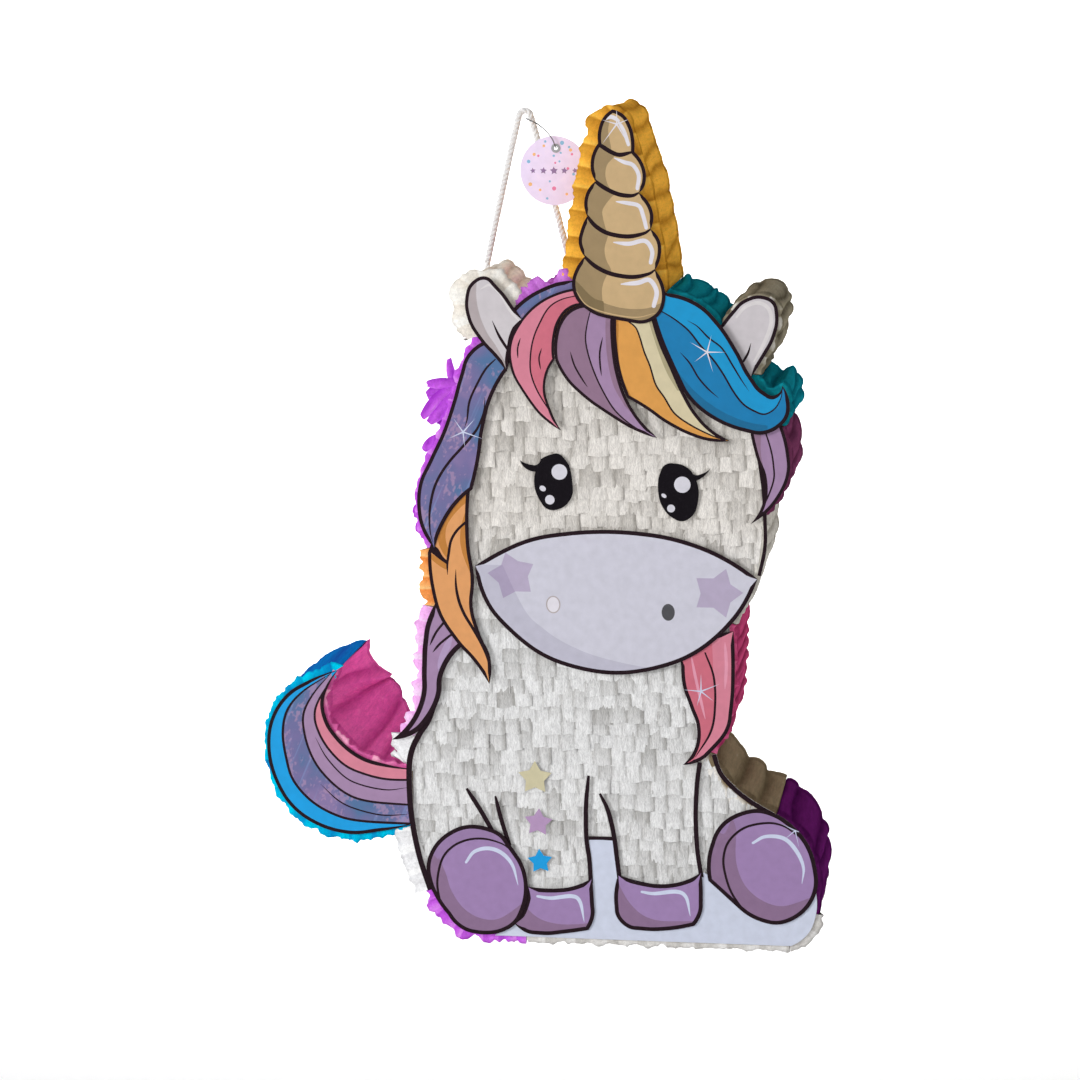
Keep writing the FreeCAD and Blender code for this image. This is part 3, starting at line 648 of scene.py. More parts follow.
# ---------------------------------------------------------------- face
card(
    "muzzle", "muzzle",
    ("cheek", shape("-78,284 -69,278", "-58,276 -62,267", "-60,256 -71,256",
                    "-80,251 -83,262", "-91,269 -81,275")),
    ("cheek", shape("79,275 82,264", "91,258 82,251", "79,240 70,247",
                    "58,247 61,257", "58,268 70,268")),
    ({"muzzle": "muzzle_dark", "cheek": "cheek_dark"},
     shape("-80,275 -71,255 -62,239 -52,230 -39,221 -19,212 4,206 26,202",
           "26,185 -120,185 -120,275")),
    ("ear_dark", [disc(-44, 247, 5.2, 6.4)]),
    ("gleam", [disc(-44, 247, 4.3, 5.5)]),
    ("nostril", [disc(38, 243, 4.7, 6.1)]),
    line=2.9, fade=8,
)
for eye, gleams in (
    ("eye_left", [disc(-39, 342, 5.6), disc(-46, 322, 3.4), disc(-51, 330, 2.4, 1.9, -0.5)]),
    ("eye_right", [disc(48, 334, 5.8), disc(40, 317, 2.8), disc(35, 326, 2.0, 1.3, -0.6)]),
):
    card(eye, "pupil", ("eye_gleam", gleams), line=0)

# ---------------------------------------------------------------- legs, tail and ground
card(
    "hoof_hind_left", "hoof_side",
    ("hoof_dark", shape("-136,62 -128,52 -124,30 -118,10", "-135,0 -150,40")),
    ("hoof", [disc(-98, 38, 33, 35.5, count=48)]),
    ("hoof_dark", shape("-130,58 -125,46 -121,33 -112,20 -99,13 -85,14 -66,28",
                        "-60,0 -120,-8 -140,30")),
    ("hoof_gleam", stroke("-110,55 -104,63 -94,66 -84,63 -76,54 -72,39", 3.0, 0.6, 0.1, 0.5)),
    ("line", stroke("-108,1 -118,7 -127,18 -131,32 -131,44 -127,58 -119,67 -108,72 -96,73 -84,70 "
                    "-78,66", 1.7, 0.9, 0.5)),
    line=2.9,
)
for hoof, foot, gleam, shade in (
    ("hoof_front_left", "-10,-5 -75,-5", "-58,31 -48,30 -33,32 -27,28 -24,13",
     "-75,40 -68,25 -58,15 -45,11 -30,11 -10,14"),
    ("hoof_front_right", "66,-5 0,-5", "18,37 27,36 43,38 50,34 53,20",
     "0,45 8,30 18,20 30,16 45,16 66,17"),
):
    card(
        hoof, "hoof",
        ("hoof_dark", shape(shade, foot)),
        ("hoof_gleam", stroke(gleam, 3.0, 0.6, 0.1, 0.5)),
        line=2.9,
    )
card(
    "hoof_hind_right", "hoof_side",
    ("hoof_dark", shape("66,90 77,82 84,92 90,60 85,40 95,26", "80,20 55,45")),
    ("hoof", [disc(110.5, 53.5, 34, 37.5, 0.25, 48)]),
    ("hoof_dark", shape("86,83 86,62 92,45 104,34 120,30 142,38",
                        "140,5 90,10 72,60")),
    ("hoof_gleam", stroke("98,76 107,81 120,80 129,71 134,59 133,47", 3.0, 0.6, 0.1, 0.5)),
    ("line", stroke("94,22 83,38 78,53 77,65 81,77 92,87 108,91 120,89 130,82", 1.7, 0.9, 0.5)),
    above=[("hoof_gleam", spark("128,86 118,91 119,78 131,73 136,84", width=0.8))],
    line=2.9,
)
TAIL = "-145,130 -200,160"  # the lower tail, where every stripe goes under the body
OUTER = "-228,179 -240,165 -244,148 -242,129 -237,112 -224,97 -206,87 -186,83 -145,82"
MIDDLE = path("-207,193 -220,178 -228,163 -228,148 -223,131 -214,117 -199,104 -181,98 -145,96")
INNER = path("-204,193 -217,172 -220,160 -217,148 -210,136 -199,125 -186,119 -168,115 -145,115")
card(
    "tail_card", "cyan",
    ("violet", shape("-212,191 " + OUTER, TAIL)),
    ("lilac", shape(MIDDLE, TAIL)),
    ("pink", shape(INNER, TAIL)),
    ("line", stroke("-208,192 " + OUTER, 1.9, 0.2, 0.9)
     + stroke(MIDDLE, 1.7, 0.2, 0.9)
     + stroke(INNER, 1.7, 0.2, 0.9)
     + stroke("-220,145 -212,130 -199,116 -186,110 -168,107 -153,109", 1.1, 0.1, 0.2)
     + stroke("-217,110 -204,98 -191,92 -172,88 -153,89", 1.1, 0.1, 0.2)),
    line=2.6, fade=30,
)
# The ground card, let in under the front right hoof and beside the hind one.
ground = [p for p in front_loops("ground_card")[0] if not (1 < p.x < 60.5 and 45 < p.y < 60)]
corner = next(i for i, p in enumerate(ground) if p.x < 1 and p.y > 70 and ground[i - 1].x > 50)
ground[corner:corner] = map(Vector, path("60.6,53 60.6,39 3,39 2,50"))
under_hoof = list(map(Vector, path("61.5,53 62,47 75,30 100,19 140,19 141,40 120,35 95,38 80,45 "
                                   "70,53 66,51")))
card("ground_card", "ground", ("line", stroke("-24,75.5 -12,76 2,75.5", 3.2, 0.9, 0.9)),
     line=0, loops=[ground, under_hoof])

stars = sorted(front_loops("belly_stars"), key=lambda loop: -loop[0].y)
card("belly_stars", "star_cream",
     *[(name, [loop]) for name, loop in zip(("star_cream", "star_lilac", "cyan"), stars)], line=0)

# The drawing's loose lines, as stroke() takes them.
LINES = [
    ("-127,182 -135,161 -143,149 -149,136 -151,120 -150,90 -145,60 -137,33", 4.2, 0.1, 0.9),
    ("-109,110 -99,94 -89,76", 3.4, 0.5, 1.0),
    ("-88,105 -84,88 -78,68", 3.2, 0.4, 1.0),
    ("-20,122 -22,100 -22,76 -20,60 -19,42", 3.3, 0.6, 1.0),
    ("-12,109 -6,96 -2,78 0,62 2,45", 3.4, 0.5, 1.0),
    ("60,134 58,118 57,95 58,71 61,49", 3.3, 1.0, 1.0),
    ("70,140 75,126 86,114 98,105 112,97", 3.4, 1.0, 1.0),
    ("99,372 102,352 105,330 106,310 106,290 102,270", 2.6, 1.0, 1.0),
]


def outlined(points, width, start, end):
    """A brush stroke as one closed outline."""
    quads = [quad for quad in stroke(points, width, start, end) if len(quad) == 4]
    one = [quad[0] for quad in quads] + [quads[-1][1]]
    other = [quad[3] for quad in quads] + [quads[-1][2]]
    return counter_clockwise(one + other[::-1])


card("outline_strips", "line", line=0, loops=[outlined(*each) for each in LINES])

# ---------------------------------------------------------------- rope, string and tag
ROPE = path("-96.5,486,46 -73,589.8,46 -70.2,592.4,46 -66.4,592.5,46 -63.6,590,46 -37,486,46")
STRING = path("-44.5,569,43.2 -49,573.5,44.8 -54.5,579,48.4 -61,584,50.2 -66.2,586.4,49.2 "
              "-68,587,46 -66.4,586.6,42.6 -61,584.8,40.8 -53,579.6,38.6 -47,572.6,37.2 "
              "-45.5,566.9,37.6 -45.5,566.2,43.4")


def route(name, points):
    """The smooth line that a route's points steer, as closely spaced points of the frame."""
    curve = bpy.data.curves.new(name, "CURVE")
    curve.dimensions = "3D"
    spline = curve.splines.new("NURBS")
    spline.points.add(len(points) - 1)
    for point, (x, z, y) in zip(spline.points, points):
        point.co = (*spot(x, z, y), 1)
    spline.order_u = 3
    spline.use_endpoint_u = True
    spline.resolution_u = 24
    guide = bpy.data.objects.new(name, curve)
    line = [v.co.copy() for v in bpy.data.meshes.new_from_object(guide).vertices]
    bpy.data.objects.remove(guide)
    return line


def evenly(line, step):
    """The same line with points a step apart, and its length."""
    marks = distances(line)
    count = max(2, round(marks[-1] / step))
    result = []
    for k in range(count + 1):
        at = marks[-1] * k / count
        i = max(1, min(bisect_left(marks, at - 1e-12), len(marks) - 1))
        span = marks[i] - marks[i - 1]
        result.append(line[i - 1].lerp(line[i], (at - marks[i - 1]) / span if span else 0))
    return result, marks[-1]


def twisted(name, line, material, strands, reach, thick, pitch, sides=8, fuzz=0.0):
    """Strands twisted round a line: reach from it, thick across, one turn each pitch."""
    points, length = evenly(line, thick * 0.35)
    side = Vector((0, 1, 0))
    verts, faces, frames = [], [], []
    for i, p in enumerate(points):
        way = heading(points, i)
        side = (side - way * side.dot(way)).normalized()
        frames.append((p, way, side, way.cross(side)))
    for s in range(strands):
        start = len(verts)
        for i, (p, way, one, two) in enumerate(frames):
            turn = 2 * math.pi * (s / strands + i / (len(points) - 1) * length / pitch)
            out = one * math.cos(turn) + two * math.sin(turn)
            lean = (way + way.cross(out) * (2 * math.pi * reach / pitch)).normalized()
            flank = out.cross(lean)
            centre = p + out * reach
            for k in range(sides):
                a = 2 * math.pi * k / sides
                rough = 1 + fuzz * noise.noise(centre * 4000 + Vector((k, s, 0)))
                ray = (out * math.cos(a) + flank * math.sin(a)) * thick / 2
                verts.append(centre + ray * rough)
        last = start + (len(points) - 1) * sides
        for ring in range(start, last, sides):
            for k in range(sides):
                a, b = ring + k, ring + (k + 1) % sides
                faces.append([a, b, b + sides, a + sides])
        faces.append(list(range(start, start + sides)))
        faces.append(list(range(last, last + sides))[::-1])
    return new_piece(name, verts, faces, [material]), points


def cotton(name, light, dark, scale):
    n = Nodes(name)
    fibre = n.noise((scale, scale, scale * 0.25), detail=4)
    body = n.ramp(fibre, (0.3, tone(*dark)), (0.65, tone(*light)))
    return n.finish(body, 0.85, n.bump(fibre, 0.0003), Specular_IOR_Level=0.2, Sheen_Weight=0.25)


ROPE_TURN = 0.011  # the length of rope in which its strands turn once
ROPE_COTTON = cotton("rope_cotton", (250, 249, 248), (212, 211, 211), 1800)
rope, rope_line = twisted("rope_strands", route("rope_route", ROPE), ROPE_COTTON, 3, 0.00118,
                          0.0026, ROPE_TURN, fuzz=0.06)
stand_in(rope, "rope_loop", "rope")
spot(*ROPE[0])
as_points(rope_line)

STRING_COTTON = cotton("string_cotton", (122, 122, 126), (70, 70, 74), 5000)
string, string_line = twisted("string_strands", route("string_route", STRING), STRING_COTTON, 2,
                              0.00021, 0.00046, 0.0022, sides=6)
stand_in(string, "tag_string", "rope")
spot(*STRING[0])
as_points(string_line)

CONFETTI = {  # each dot's place and radius
    "dot_blue": "-53,571,0.9 -41,570,1.5 -36,567,0.9 -42,563,0.8 -47,561,0.9 -65,557,1.3 "
                "-43,557,0.8 -50,543,0.8 -52,531,0.9 -33,548,1",
    "dot_gold": "-36,574,0.9 -54,568,1 -61,562,1.2 -35,565,1.2 -64,541,1.4 -57,537,1 -38,534,1",
    "dot_pink": "-58,561,0.9 -34,562,0.9 -46,556,0.8 -47,538,1.5 -37,552,1",
}
TAG_STARS = [star(-47 + x, 550.5, 3.0 - abs(x) * 0.06, turn)
             for x, turn in ((-15, 8), (-7.5, -6), (0, 4), (7.5, -8), (15, 6))]
card(
    "hang_tag", "tag",
    *[(name, [disc(*dot, count=10) for dot in path(dots)]) for name, dots in CONFETTI.items()],
    ("hoof_side", TAG_STARS),
    line=0, body="tag", holes=front_loops("hang_tag")[1:],
)

# ---------------------------------------------------------------- crepe fringe
ACROSS, DOWN = 8, 5  # a tab's faces
TUCK = 4.5  # how far a tab runs up under the row above
SLIVER = 2e-7  # faces smaller than this, in square metres, are left out
rng = random.Random(11)


def inside(loop, x, z):
    odd = False
    for a, b in zip(loop, loop[1:] + loop[:1]):
        if (a.y > z) != (b.y > z) and x < (b.x - a.x) * (z - a.y) / (b.y - a.y) + a.x:
            odd = not odd
    return odd


def nearest(loop, x, z):
    """The closest point of an outline."""
    ends = np.array([[p.x, p.y] for p in loop])
    ways = np.roll(ends, -1, 0) - ends
    gap = np.array([x, z]) - ends
    t = np.clip((gap * ways).sum(1) / np.maximum((ways ** 2).sum(1), 1e-9), 0, 1)
    feet = ends + ways * t[:, None]
    return feet[((feet - (x, z)) ** 2).sum(1).argmin()]


def fringe(node, body, row, wide, face, out):
    """Rows of short crepe tabs over a flat region. row and wide are a tab's height and width,
    face is the depth of the paper they are glued to, and out is -1 where they hang in front of it
    and 1 behind."""
    loop, *holes = front_loops(node)
    low, high = [drawn(p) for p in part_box(node)]

    def solid(x, z):
        return inside(loop, x, z) and not any(inside(hole, x, z) for hole in holes)

    verts, faces, shades = [], [], []
    level = high[1] + 3
    while level > low[1] - 2:
        tall = row * rng.uniform(0.86, 1.12)
        x = low[0] - rng.uniform(0, wide)
        while x < high[0] + 2:
            pitch = wide * rng.uniform(0.7, 1.2)
            top = level + 2.6 * wander(x / 16, level / 40, 1)
            drop = tall + rng.uniform(-1.2, 1.8)
            lap = rng.uniform(0.4, 1.4)
            under = rng.uniform(0.12, 0.6)
            lift = rng.uniform(0.5, 1.25)
            tilt = rng.uniform(-1.5, 1.5)
            skew = rng.uniform(-0.6, 0.6)
            puff = rng.uniform(0.2, 0.9)
            pale = min(0.95, max(0.25, rng.gauss(0.68, 0.2)))
            crimp = rng.uniform(0, 6)
            spots = [(x + pitch * u, top - drop * v) for u in (0.05, 0.5, 0.95)
                     for v in (0.1, 0.6, 0.9)]
            left, x = x, x + pitch
            if not any(inside(loop, *one) for one in spots):
                continue
            if any(inside(hole, *spots[4]) for hole in holes):
                continue
            start = len(verts)
            for j in range(DOWN + 1):
                v = j / DOWN
                for i in range(ACROSS + 1):
                    u = i / ACROSS
                    px = left - lap + (pitch + 2 * lap) * u + skew * v
                    pz = top + TUCK - (drop + TUCK) * v + 0.4 * math.sin(7 * u + left) * v
                    if not inside(loop, px, pz):
                        px, pz = nearest(loop, px, pz)
                    for hole in holes:
                        if inside(hole, px, pz):
                            px, pz = nearest(hole, px, pz)
                    rise = under + lift * v ** 1.3 + tilt * (u - 0.5) * (0.3 + 0.7 * v)
                    rise += 0.14 * math.sin(2.2 * px + crimp) * (0.4 + v)
                    rise += puff * math.sin(math.pi * u) * math.sin(math.pi * min(1, v + 0.1))
                    verts.append(spot(px, pz, face + out * min(2.35, max(0.1, rise))))
                    # Painted shade: a tab is darker at its top, in the shadow of the row above,
                    # lighter towards its lower edge, and darker at its sides, the right side most,
                    # away from the key light. pale is its own random tone.
                    edge = 0.35 * max(0, 1 - u * 4) + 0.6 * max(0, u * 4 - 3)
                    shades.append(min(0.95, max(0, pale + 0.35 * (v - 0.6) - edge)))
            for ring in grid(start, DOWN + 1, ACROSS + 1):
                p, q, r, t = (verts[k] for k in ring)
                middle = drawn((p + q + r + t) / 4)[:2]
                if solid(*middle) and (r - p).cross(t - q).length > SLIVER:
                    faces.append(ring[::-1] if out < 0 else ring)
        level -= tall
    piece = new_piece(node + "_tabs", verts, faces, [WHITE_CREPE], shades=shades)
    stand_in(piece, node, body)


WHITE_CREPE = crepe("crepe_white", (247, 247, 247), (182, 180, 177), grain=CREPE_GRAIN, gloss=0.2,
                    relief=1.0, warm=spot(0, 265).z)
fringe("front_fringe", "shell", 10.8, 11.4, -0.1, -1)
fringe("back_fringe", "shell", 12.0, 12.0, DEPTH + 0.1, 1)
fringe("flap_fringe", "flap", 12.0, 12.0, DEPTH + 0.1, 1)

# ---------------------------------------------------------------- crepe trims
SILHOUETTE = front_loops("front_panel")[0]
MARKS = distances(SILHOUETTE + SILHOUETTE[:1])
ROUND = MARKS[-1]
STEP = 1.3  # between a band's points along the wall
CLOSE = [7, 12, 18]  # depths behind each panel's face at which a band is shaped closely
ROWS = CLOSE + [CLOSE[-1] + (DEPTH - 2 * CLOSE[-1]) * k / 14 for k in range(1, 14)]
ROWS += [DEPTH - y for y in CLOSE[::-1]]


def rim(at):
    """The silhouette's point at a distance along it."""
    at %= ROUND
    i = int(np.searchsorted(MARKS, at, "right")) - 1
    a, b = SILHOUETTE[i], SILHOUETTE[(i + 1) % len(SILHOUETTE)]
    return a.lerp(b, (at - MARKS[i]) / (MARKS[i + 1] - MARKS[i]))


def rim_place(point):
    """How far off the silhouette's nearest point to a place is, and how far along."""
    best = (9e9, 0)
    for i, a in enumerate(SILHOUETTE):
        way = SILHOUETTE[(i + 1) % len(SILHOUETTE)] - a
        t = min(1, max(0, (point - a).dot(way) / max(way.length_squared, 1e-9)))
        gap = (a + way * t - point).length
        if gap < best[0]:
            best = (gap, MARKS[i] + way.length * t)
    return best


def stretches(node):
    """The stretches of the silhouette that a crepe band covers, as (start, end) along it."""
    found = []
    for loop in front_loops(node):
        places = sorted(at for gap, at in map(rim_place, loop) if gap < 0.6)
        nexts = places[1:] + [places[0] + ROUND]
        widest = max((b - a, i) for i, (a, b) in enumerate(zip(places, nexts)))[1]
        start, end = places[(widest + 1) % len(places)], places[widest]
        found.append((start, end if end > start else end + ROUND))
    return found


def ease(value):
    value = min(1, max(0, value))
    return value * value * (3 - 2 * value)


def crepe_band(node, material, seed, fold, bulge=4.0, front=3.0, back=2.0, hem=6.0, rough=1.0,
               deep=0.25, sides=(1, 1, 1), fill=0.0, ends=(0, 0), ridge=0.0, most=9.5, pleat=0.35):
    """A gathered crepe sheet round a stretch of the walls: folds that run from front to back,
    finely creased, and turned in over both panels, where the gathers stand out in a ruffle. fold
    and bulge are a fold's width and height, front and back the ruffles' heights, up to most, and
    hem how far the front edge is turned in. sides scales the front ruffle on walls that face
    left, up or down, and right. fill is how far the sheet bridges a hollow at the back, ends
    lengthens the first stretch, deep is the painted shade in the fold valleys between the
    ruffles, ridge the height of the creases that run along the wall, which also lightens the tone
    where they rise and darkens it where they sink, and pleat how dark the painted shade on the
    ruffle's slanted pleats is. The sheet's tone is painted shade throughout: darker in each fold's
    valley and where a ruffle turns back to the wall."""
    rng = random.Random(seed)
    verts, faces, shades = [], [], []

    def sheet(s, y):
        """How far the folded sheet stands off the wall, and its fold's height from 0 to 1."""
        lines = [at + lean * (y - MIDDEPTH) + 1.2 * math.sin(y / 17 + sway)
                 for at, _, lean, sway in knots]
        low = max((j for j, line in enumerate(lines[:-1]) if line <= s), default=0)
        t = min(1, max(0, (s - lines[low]) / max(0.5, lines[low + 1] - lines[low])))
        crest = 1 - abs(2 * t - 1) ** 2.4
        puff = 0.7 + 0.5 * wander(s / 30, y / 45, seed)
        rise = 0.8 + bulge * knots[low][1] * crest * puff
        rise += 0.45 * wander(s / 2.2, y / 26, seed)
        t = (s - start) / (end - start)
        along = wander(s / 42, y / 7.5, seed + 9)
        rise += ridge * along
        bridge = fill * ease(min(t / 0.4, (1 - t) / 0.16)) * (y / DEPTH) ** 1.3
        return max(0.4, rise) + bridge, crest + 0.35 * ridge * along

    def ruffle(s, side):
        return (0.6 + rough * wander(s / 9, seed, side)
                + 0.5 * rough * wander(s / 3.6, seed, side + 3)
                + 0.2 * rough * wander(s / 1.6, seed, side + 6))

    def turned_in(s, side, height):
        """One edge's profile from its hem outwards: (stand-off, depth from the panel, tone). The
        hem takes the edge colour, and the tone darkens as painted shade where the sheet turns back
        to the wall, on the pleats and in fold valleys.
        """
        near, crest = sheet(s, ROWS[-1] if side else ROWS[0])
        reach = max(0.8, height * ruffle(s, side)) + (near if side else 0)
        reach = reach if fill and side else min(most, reach)
        wave = 0.45 * math.sin(s / 1.9 + 3 * wander(s / 9, seed, 5))
        inset = 3 if side else hem
        part = [(-inset, -0.3, 1.6), (-inset * 0.5, -0.9, 1.6), (-0.5, -1.3 + wave * 0.6, 1.0),
                (reach * 0.55, -1.3 + wave, 1.0), (reach, -0.9 + wave, 1.0),
                (reach * 0.92, 0.6 + wave, 0.8), (reach * 0.5 + near * 0.5, 2.6, 0.55),
                (reach * 0.15 + near * 0.85, 4.8, 0.5)]
        # Painted shade: each slanted pleat darkens across its width by pleat, and a fold's valley
        # by a tenth.
        facet = (s + 1.2 * reach) / fold % 1
        fade = 1 - pleat * (1 - facet)
        part = [(r, y, fade * tint - 0.1 * (1 - crest)) for r, y, tint in part]
        return [(r, y, min(0.7, tint)) for r, y, tint in part] if side and fill else part

    for index, (start, end) in enumerate(stretches(node)):
        if index == 0:
            start, end = start + ends[0], end + ends[1]
        count = max(6, round((end - start) / STEP))
        knots, at = [], start - rng.uniform(0, fold)
        while at < end + 2 * fold:
            knots.append((at, rng.uniform(0.4, 1.0), rng.uniform(-0.09, 0.09), rng.uniform(0, 9)))
            at += fold * rng.uniform(0.45, 1.5)
        base = len(verts)
        for i in range(count + 1):
            s = start + (end - start) * i / count
            p = rim(s)
            way = (rim(s + 2.5) - rim(s - 2.5)).normalized()
            out = Vector((way.y, -way.x))
            level = sides[0] * max(0, -out.x) ** 1.6 + sides[2] * max(0, out.x) ** 1.6
            level += sides[1] * abs(out.y) ** 1.6
            profile = turned_in(s, 0, front * level)
            for y in ROWS:
                r, crest = sheet(s, y)
                # Painted shade: the wall darker in each fold's valley, lighter on its crest.
                profile.append((r, y, min(0.76, deep + 0.55 * max(0, crest) ** 1.4)))
            profile += [(r, DEPTH - y, tint) for r, y, tint in turned_in(s, 1, back)[::-1]]
            for r, y, tint in profile:
                verts.append(spot(p.x + out.x * r, p.y + out.y * r, y))
                shades.append(min(1, max(0, tint + 0.1 * wander(s / 7, y / 7, seed))))
        faces += [ring[:1] + ring[:0:-1] for ring in grid(base, count + 1, len(profile))]
    piece = new_piece(node + "_crepe", verts, faces, [material], shades=shades)
    stand_in(piece, node, "shell")


CREPES = {  # each colour's tone on a fold's crest, its darker tone in the fold valleys as painted shade, and its turned-in edge where that differs
    "gold": ((255, 188, 70), (154, 92, 14), (255, 204, 88)),
    "teal": ((20, 134, 150), (0, 62, 80), (20, 150, 164)),
    # Painted shade: the white crepe darkened for walls turned from the key light, the right ear's;
    # its edge is the lit white.
    "shaded": ((158, 149, 128), (58, 50, 34), (236, 232, 224)),
    # Painted shade: the white crepe, a little darkened, for the cheek on the right.
    "white_in_painted_shade": ((216, 211, 202), (104, 96, 80), (230, 226, 218)),
    # Painted shade: the violet crepe darkened for the mane's walls on the right.
    "plum": ((126, 62, 98), (58, 20, 42)),
    "pink": ((216, 80, 132), (104, 20, 52), (240, 116, 164)),
    # Painted shade: the white crepe darkened most, for the haunch on the right; its edge is the
    # lit white.
    "white_in_deep_painted_shade": ((140, 124, 98), (82, 68, 48), (236, 232, 226)),
    # Painted shade: the violet crepe darkened most, for the right hind hoof.
    "violet_in_deep_painted_shade": ((100, 28, 100), (44, 2, 46)),
    # Painted shade: the white crepe, darker for the base.
    "grey": ((220, 217, 213), (150, 145, 138), (236, 234, 232)),
    "violet": ((208, 100, 236), (142, 24, 182), (226, 140, 244)),
    "bright": ((244, 244, 246), (198, 196, 198), (255, 255, 255)),
    "cyan": ((14, 118, 196), (30, 70, 160), (0, 204, 240)),
    "magenta": ((234, 110, 176), (160, 34, 110), (255, 176, 208)),
    "lilac": ((255, 190, 250), (214, 130, 216), (255, 220, 255)),
    "orange": ((255, 180, 108), (236, 116, 34), (255, 208, 144)),
    "cream": ((244, 238, 228), (186, 168, 148), (255, 253, 247)),
    "orchid": ((206, 118, 220), (132, 48, 146), (222, 142, 236)),
}
SIDES = {name: crepe("crepe_" + name, *tones) for name, tones in CREPES.items()}
TRIMS = {  # in the order of their seeds
    "horn": ("gold", dict(fold=16, bulge=1.8, front=16, back=0.5, hem=15, rough=0.22,
                          sides=(1, 0.04, 0.06), most=13, pleat=0.7)),
    "crown_right": ("teal", dict(fold=10, bulge=4.4, back=0.6)),
    "ear_right": ("shaded", dict(fold=15, bulge=5, back=0.6, sides=(1, 0.4, 1), deep=0.15)),
    "forelock": ("teal", dict(fold=10, bulge=4.8, back=0.6)),
    "mane_right": ("plum", dict(fold=13, bulge=4.2, back=0.8)),
    "cheek": ("white_in_painted_shade", dict(fold=26, bulge=2.4, back=0.8, ridge=2.4)),
    "lock_pink": ("pink", dict(fold=13, bulge=4.6, front=4, back=1, deep=0.1)),
    "haunch_right": ("white_in_deep_painted_shade", dict(fold=19, bulge=7.5, front=2, back=0.8, rough=0.4, hem=12)),
    "hoof_right": ("violet_in_deep_painted_shade", dict(fold=20, front=1.5, back=0.4, hem=5)),
    "base": ("grey", dict(fold=22, bulge=2, front=8, back=1.5, rough=0.4, ends=(32, 0),
                          ridge=1.6)),
    "hoof_left": ("violet", dict(fold=11, front=11, rough=0.6, ends=(0, 32), sides=(1, 0.8, 1))),
    "haunch_left": ("bright", dict(fold=16, front=21, hem=8, rough=0.16, most=16)),
    "tail_outer": ("cyan", dict(fold=22, bulge=3, front=9, back=0.8, deep=0.2, rough=0.5,
                                sides=(0.45, 1, 1), pleat=0.12)),
    "tail_inner": ("magenta", dict(fold=34, bulge=6, front=4, back=0.6, deep=0.3, fill=30)),
    "lock_lilac": ("lilac", dict(fold=13, front=11, rough=0.5)),
    "lock_orange": ("orange", dict(fold=12, front=12, rough=0.7, pleat=0.7)),
    "mane_left": ("violet", dict(fold=14, front=4.5, rough=0.5)),
    "ear_left": ("cream", dict(fold=15, bulge=4.6, front=20, back=1.5, rough=0.3,
                               sides=(1, 0.3, 1), most=13)),
    "crown_left": ("orchid", dict(fold=8, bulge=3.4, front=10)),
}
for seed, (name, (color, sizes)) in enumerate(TRIMS.items(), 3):
    crepe_band("trim_" + name, SIDES[color], seed, **sizes)

# Loose strips of the mane's crepe: each one's root, tip and width.
TASSELS = path("-106,396,-118,421,6 -107,402,-134,403,7 -109,404,-135,394,9 -111,403,-138,379,8 "
               "-113,400,-133,375,8 -113,396,-126,373,7 -124,366,-138,355,7 -135,314,-146,308,8 "
               "-134,304,-144,296,7")
ALONG, BESIDE = 9, 4  # a strip's points


def tassels():
    verts, faces, shades = [], [], []
    for k, (*places, width) in enumerate(TASSELS):
        root, tip = Vector(places[:2]), Vector(places[2:])
        way = tip - root
        side = Vector((-way.y, way.x)).normalized()
        bend, depth = rng.uniform(-0.14, 0.14), rng.uniform(-1.6, 5)
        start = len(verts)
        for j in range(ALONG):
            t = j / (ALONG - 1)
            centre = root + way * t + side * (bend * way.length * math.sin(math.pi * t))
            half = width / 2 * (0.75 + 0.45 * math.sin(math.pi * t * 0.9)) * (1 - 0.3 * t ** 6)
            for i in range(BESIDE):
                u = i / (BESIDE - 1) * 2 - 1
                ripple = 0.9 * wander(k, 3 * t, 1.3 * u)
                stray = 1.4 * wander(k, u * 2, 5) * t
                p = centre + side * (half * u) + way.normalized() * stray
                verts.append(spot(p.x, p.y, depth + 1.6 * u * u + ripple * 2 + 3 * t * t))
                # Painted shade: a strip is darker where its ripples sink back, and darker towards
                # one edge.
                shades.append(min(0.9, max(0, 0.55 - 0.5 * ripple + 0.3 * u)))
        faces += grid(start, ALONG, BESIDE)
    piece = new_piece("mane_tassels", verts, faces, [SIDES["violet"]], shades=shades)
    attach(piece, "shell")


tassels()


# ---------------------------------------------------------------- cardboard, knots and eyelet
def coat(thing, material):
    thing.data.materials.clear()
    thing.data.materials.append(material)


def cardboard():
    """Kraft board: fibre flecks, and flutes that show faintly through the liner."""
    n = Nodes("kraft_board")
    flecks = n.noise((500, 500, 500), detail=6)
    body = n.ramp(flecks, (0.3, tone(150, 116, 80)), (0.6, tone(188, 152, 112)),
                  (0.8, tone(204, 172, 134)))
    inputs = {"Vector": n.place(), "Scale": 60.0, "Distortion": 0.3}
    wave = n.add("ShaderNodeTexWave", inputs, bands_direction="X").outputs["Fac"]
    return n.finish(body, 0.9, n.bump(wave, 0.0002, 0.5), Specular_IOR_Level=0.15)


def steel():
    n = Nodes("eyelet_steel")
    scratches = n.noise((900, 900, 4000), detail=3)
    body = n.ramp(scratches, (0.3, tone(168, 168, 170)), (0.7, tone(196, 196, 198)))
    return n.finish(body, 0.35, n.bump(scratches, 0.00002), Metallic=1.0)


BOARD = cardboard()
for node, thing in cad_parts.items():
    if node in ("front_panel", "back_panel", "fill_flap") or node.startswith("wall_"):
        coat(thing, BOARD)
coat(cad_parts["tag_eyelet"], steel())


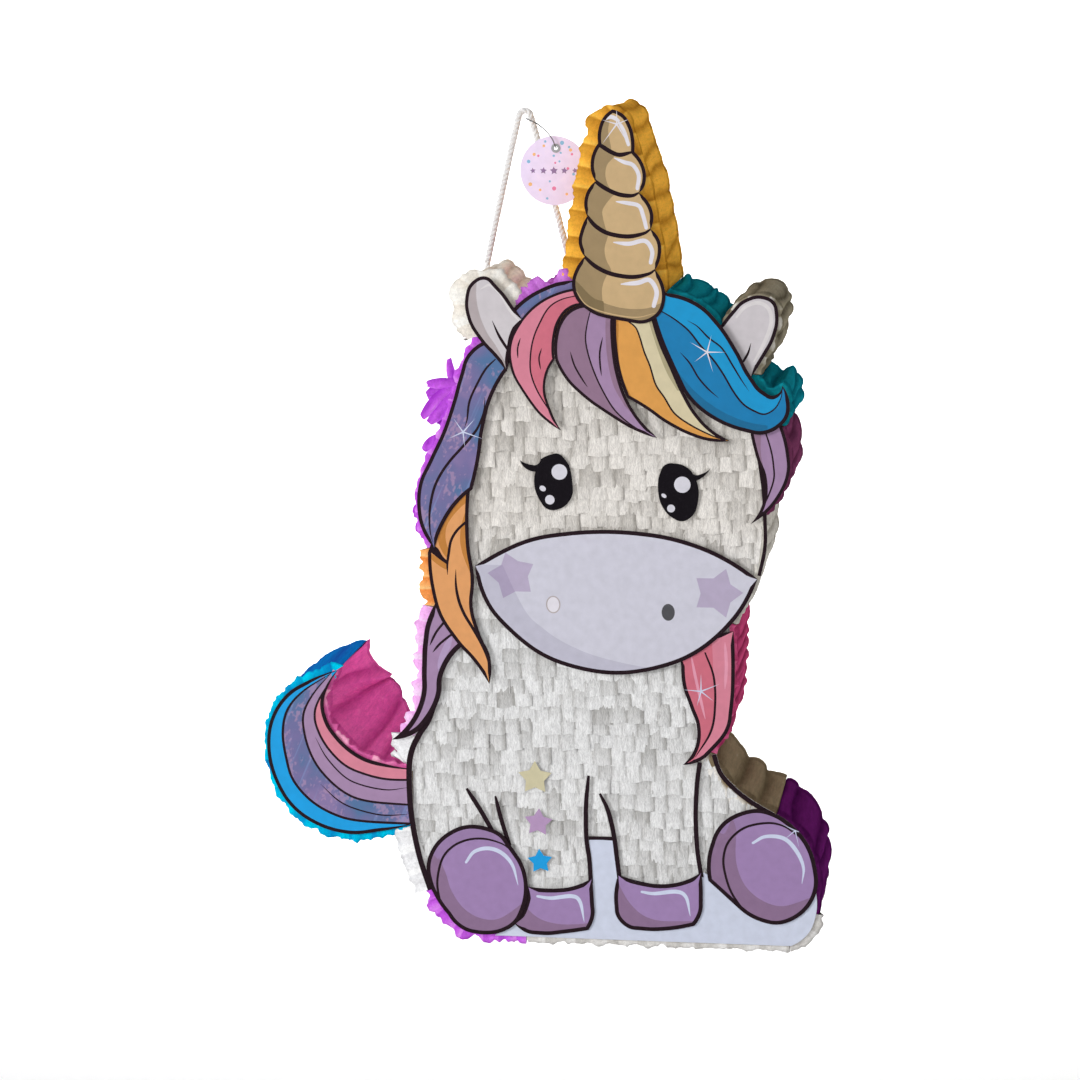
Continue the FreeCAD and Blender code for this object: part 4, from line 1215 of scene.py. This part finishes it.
def knot(x):
    """The rope's end: straight down through the wall, then an overhand knot."""
    points = [spot(x, z, MIDDEPTH) for z in (486.2, 480, 474, 468.6)]
    for k in range(49):
        a = 2 * math.pi * k / 48
        points.append(spot(x + 1.15 * (math.sin(a) + 2 * math.sin(2 * a)) * 0.72,
                           462.4 + 1.15 * (math.cos(a) - 2 * math.cos(2 * a)) * 0.72,
                           MIDDEPTH - 1.5 * math.sin(3 * a)))
    return points


for side, x in (("left", ROPE[0][0]), ("right", ROPE[-1][0])):
    piece, _ = twisted("rope_knot_" + side, knot(x), ROPE_COTTON, 3, 0.00105, 0.0023, ROPE_TURN,
                       fuzz=0.06)
    stand_in(piece, "rope_knots", "shell")


# ---------------------------------------------------------------- studio
def sweep():
    """A pale floor that curves up into a backdrop."""
    near, far, bend, top, half_width, below = -6.0, 3.0, 1.5, 7.0, 7, 0.22
    turns = [math.pi / 2 * k / 12 for k in range(13)]
    profile = [(near, 0.0)]
    profile += [(far + bend * math.sin(a), bend - bend * math.cos(a)) for a in turns]
    profile.append((far + bend, top))
    floor = cad_box[0][2] - below
    verts = [(side * half_width, y, z + floor) for y, z in profile for side in (-1, 1)]
    n = Nodes("studio_paper")
    white = tone(250, 250, 250)
    drift = n.ramp(n.noise((1.5, 1.5, 1.5)), (0, white), (1, shaded(white, 0.99)))
    faces = grid(0, len(profile), 2)
    piece = new_piece("studio_sweep", verts, faces, [n.finish(drift, 0.9)])


def lamp(name, place, aim, size, watts):
    data = bpy.data.lights.new(name, "AREA")
    data.shape = "RECTANGLE"
    data.size, data.size_y = size
    data.energy = watts
    light = bpy.data.objects.new(name, data)
    light.location = place
    light.rotation_euler = (Vector(aim) - Vector(place)).to_track_quat("-Z", "Y").to_euler()
    bpy.context.scene.collection.objects.link(light)


sweep()
CENTRE = (0.01, 0, -0.3)
lamp("key_light", (-2.3, -2.2, 0.6), CENTRE, (1.1, 1.1), 56)
lamp("fill_light", (0.6, -3.0, 1.0), CENTRE, (2.5, 2.5), 17)
lamp("backdrop_light", (0, 0.9, 2.0), (0, 1.85, 1.69), (4.0, 0.8), 320)
world = bpy.data.worlds.new("studio_world")
world.use_nodes = True
world.node_tree.nodes["Background"].inputs["Color"].default_value = (1, 1, 1, 1)
world.node_tree.nodes["Background"].inputs["Strength"].default_value = 0.33
bpy.context.scene.world = world
bpy.context.scene.view_settings.view_transform = "Standard"

camera = bpy.data.objects.new("camera", bpy.data.cameras.new("camera"))
camera.data.lens = 100
camera.matrix_world = (
    Matrix.Translation(spot(265, 674, -2069))
    @ Matrix.Rotation(math.radians(8.76), 4, "Z")
    @ Matrix.Rotation(math.radians(90 - 10.33), 4, "X")
    @ Matrix.Rotation(math.radians(-0.66), 4, "Z")
)
bpy.context.scene.collection.objects.link(camera)
bpy.context.scene.camera = camera

bpy.context.view_layer.update()
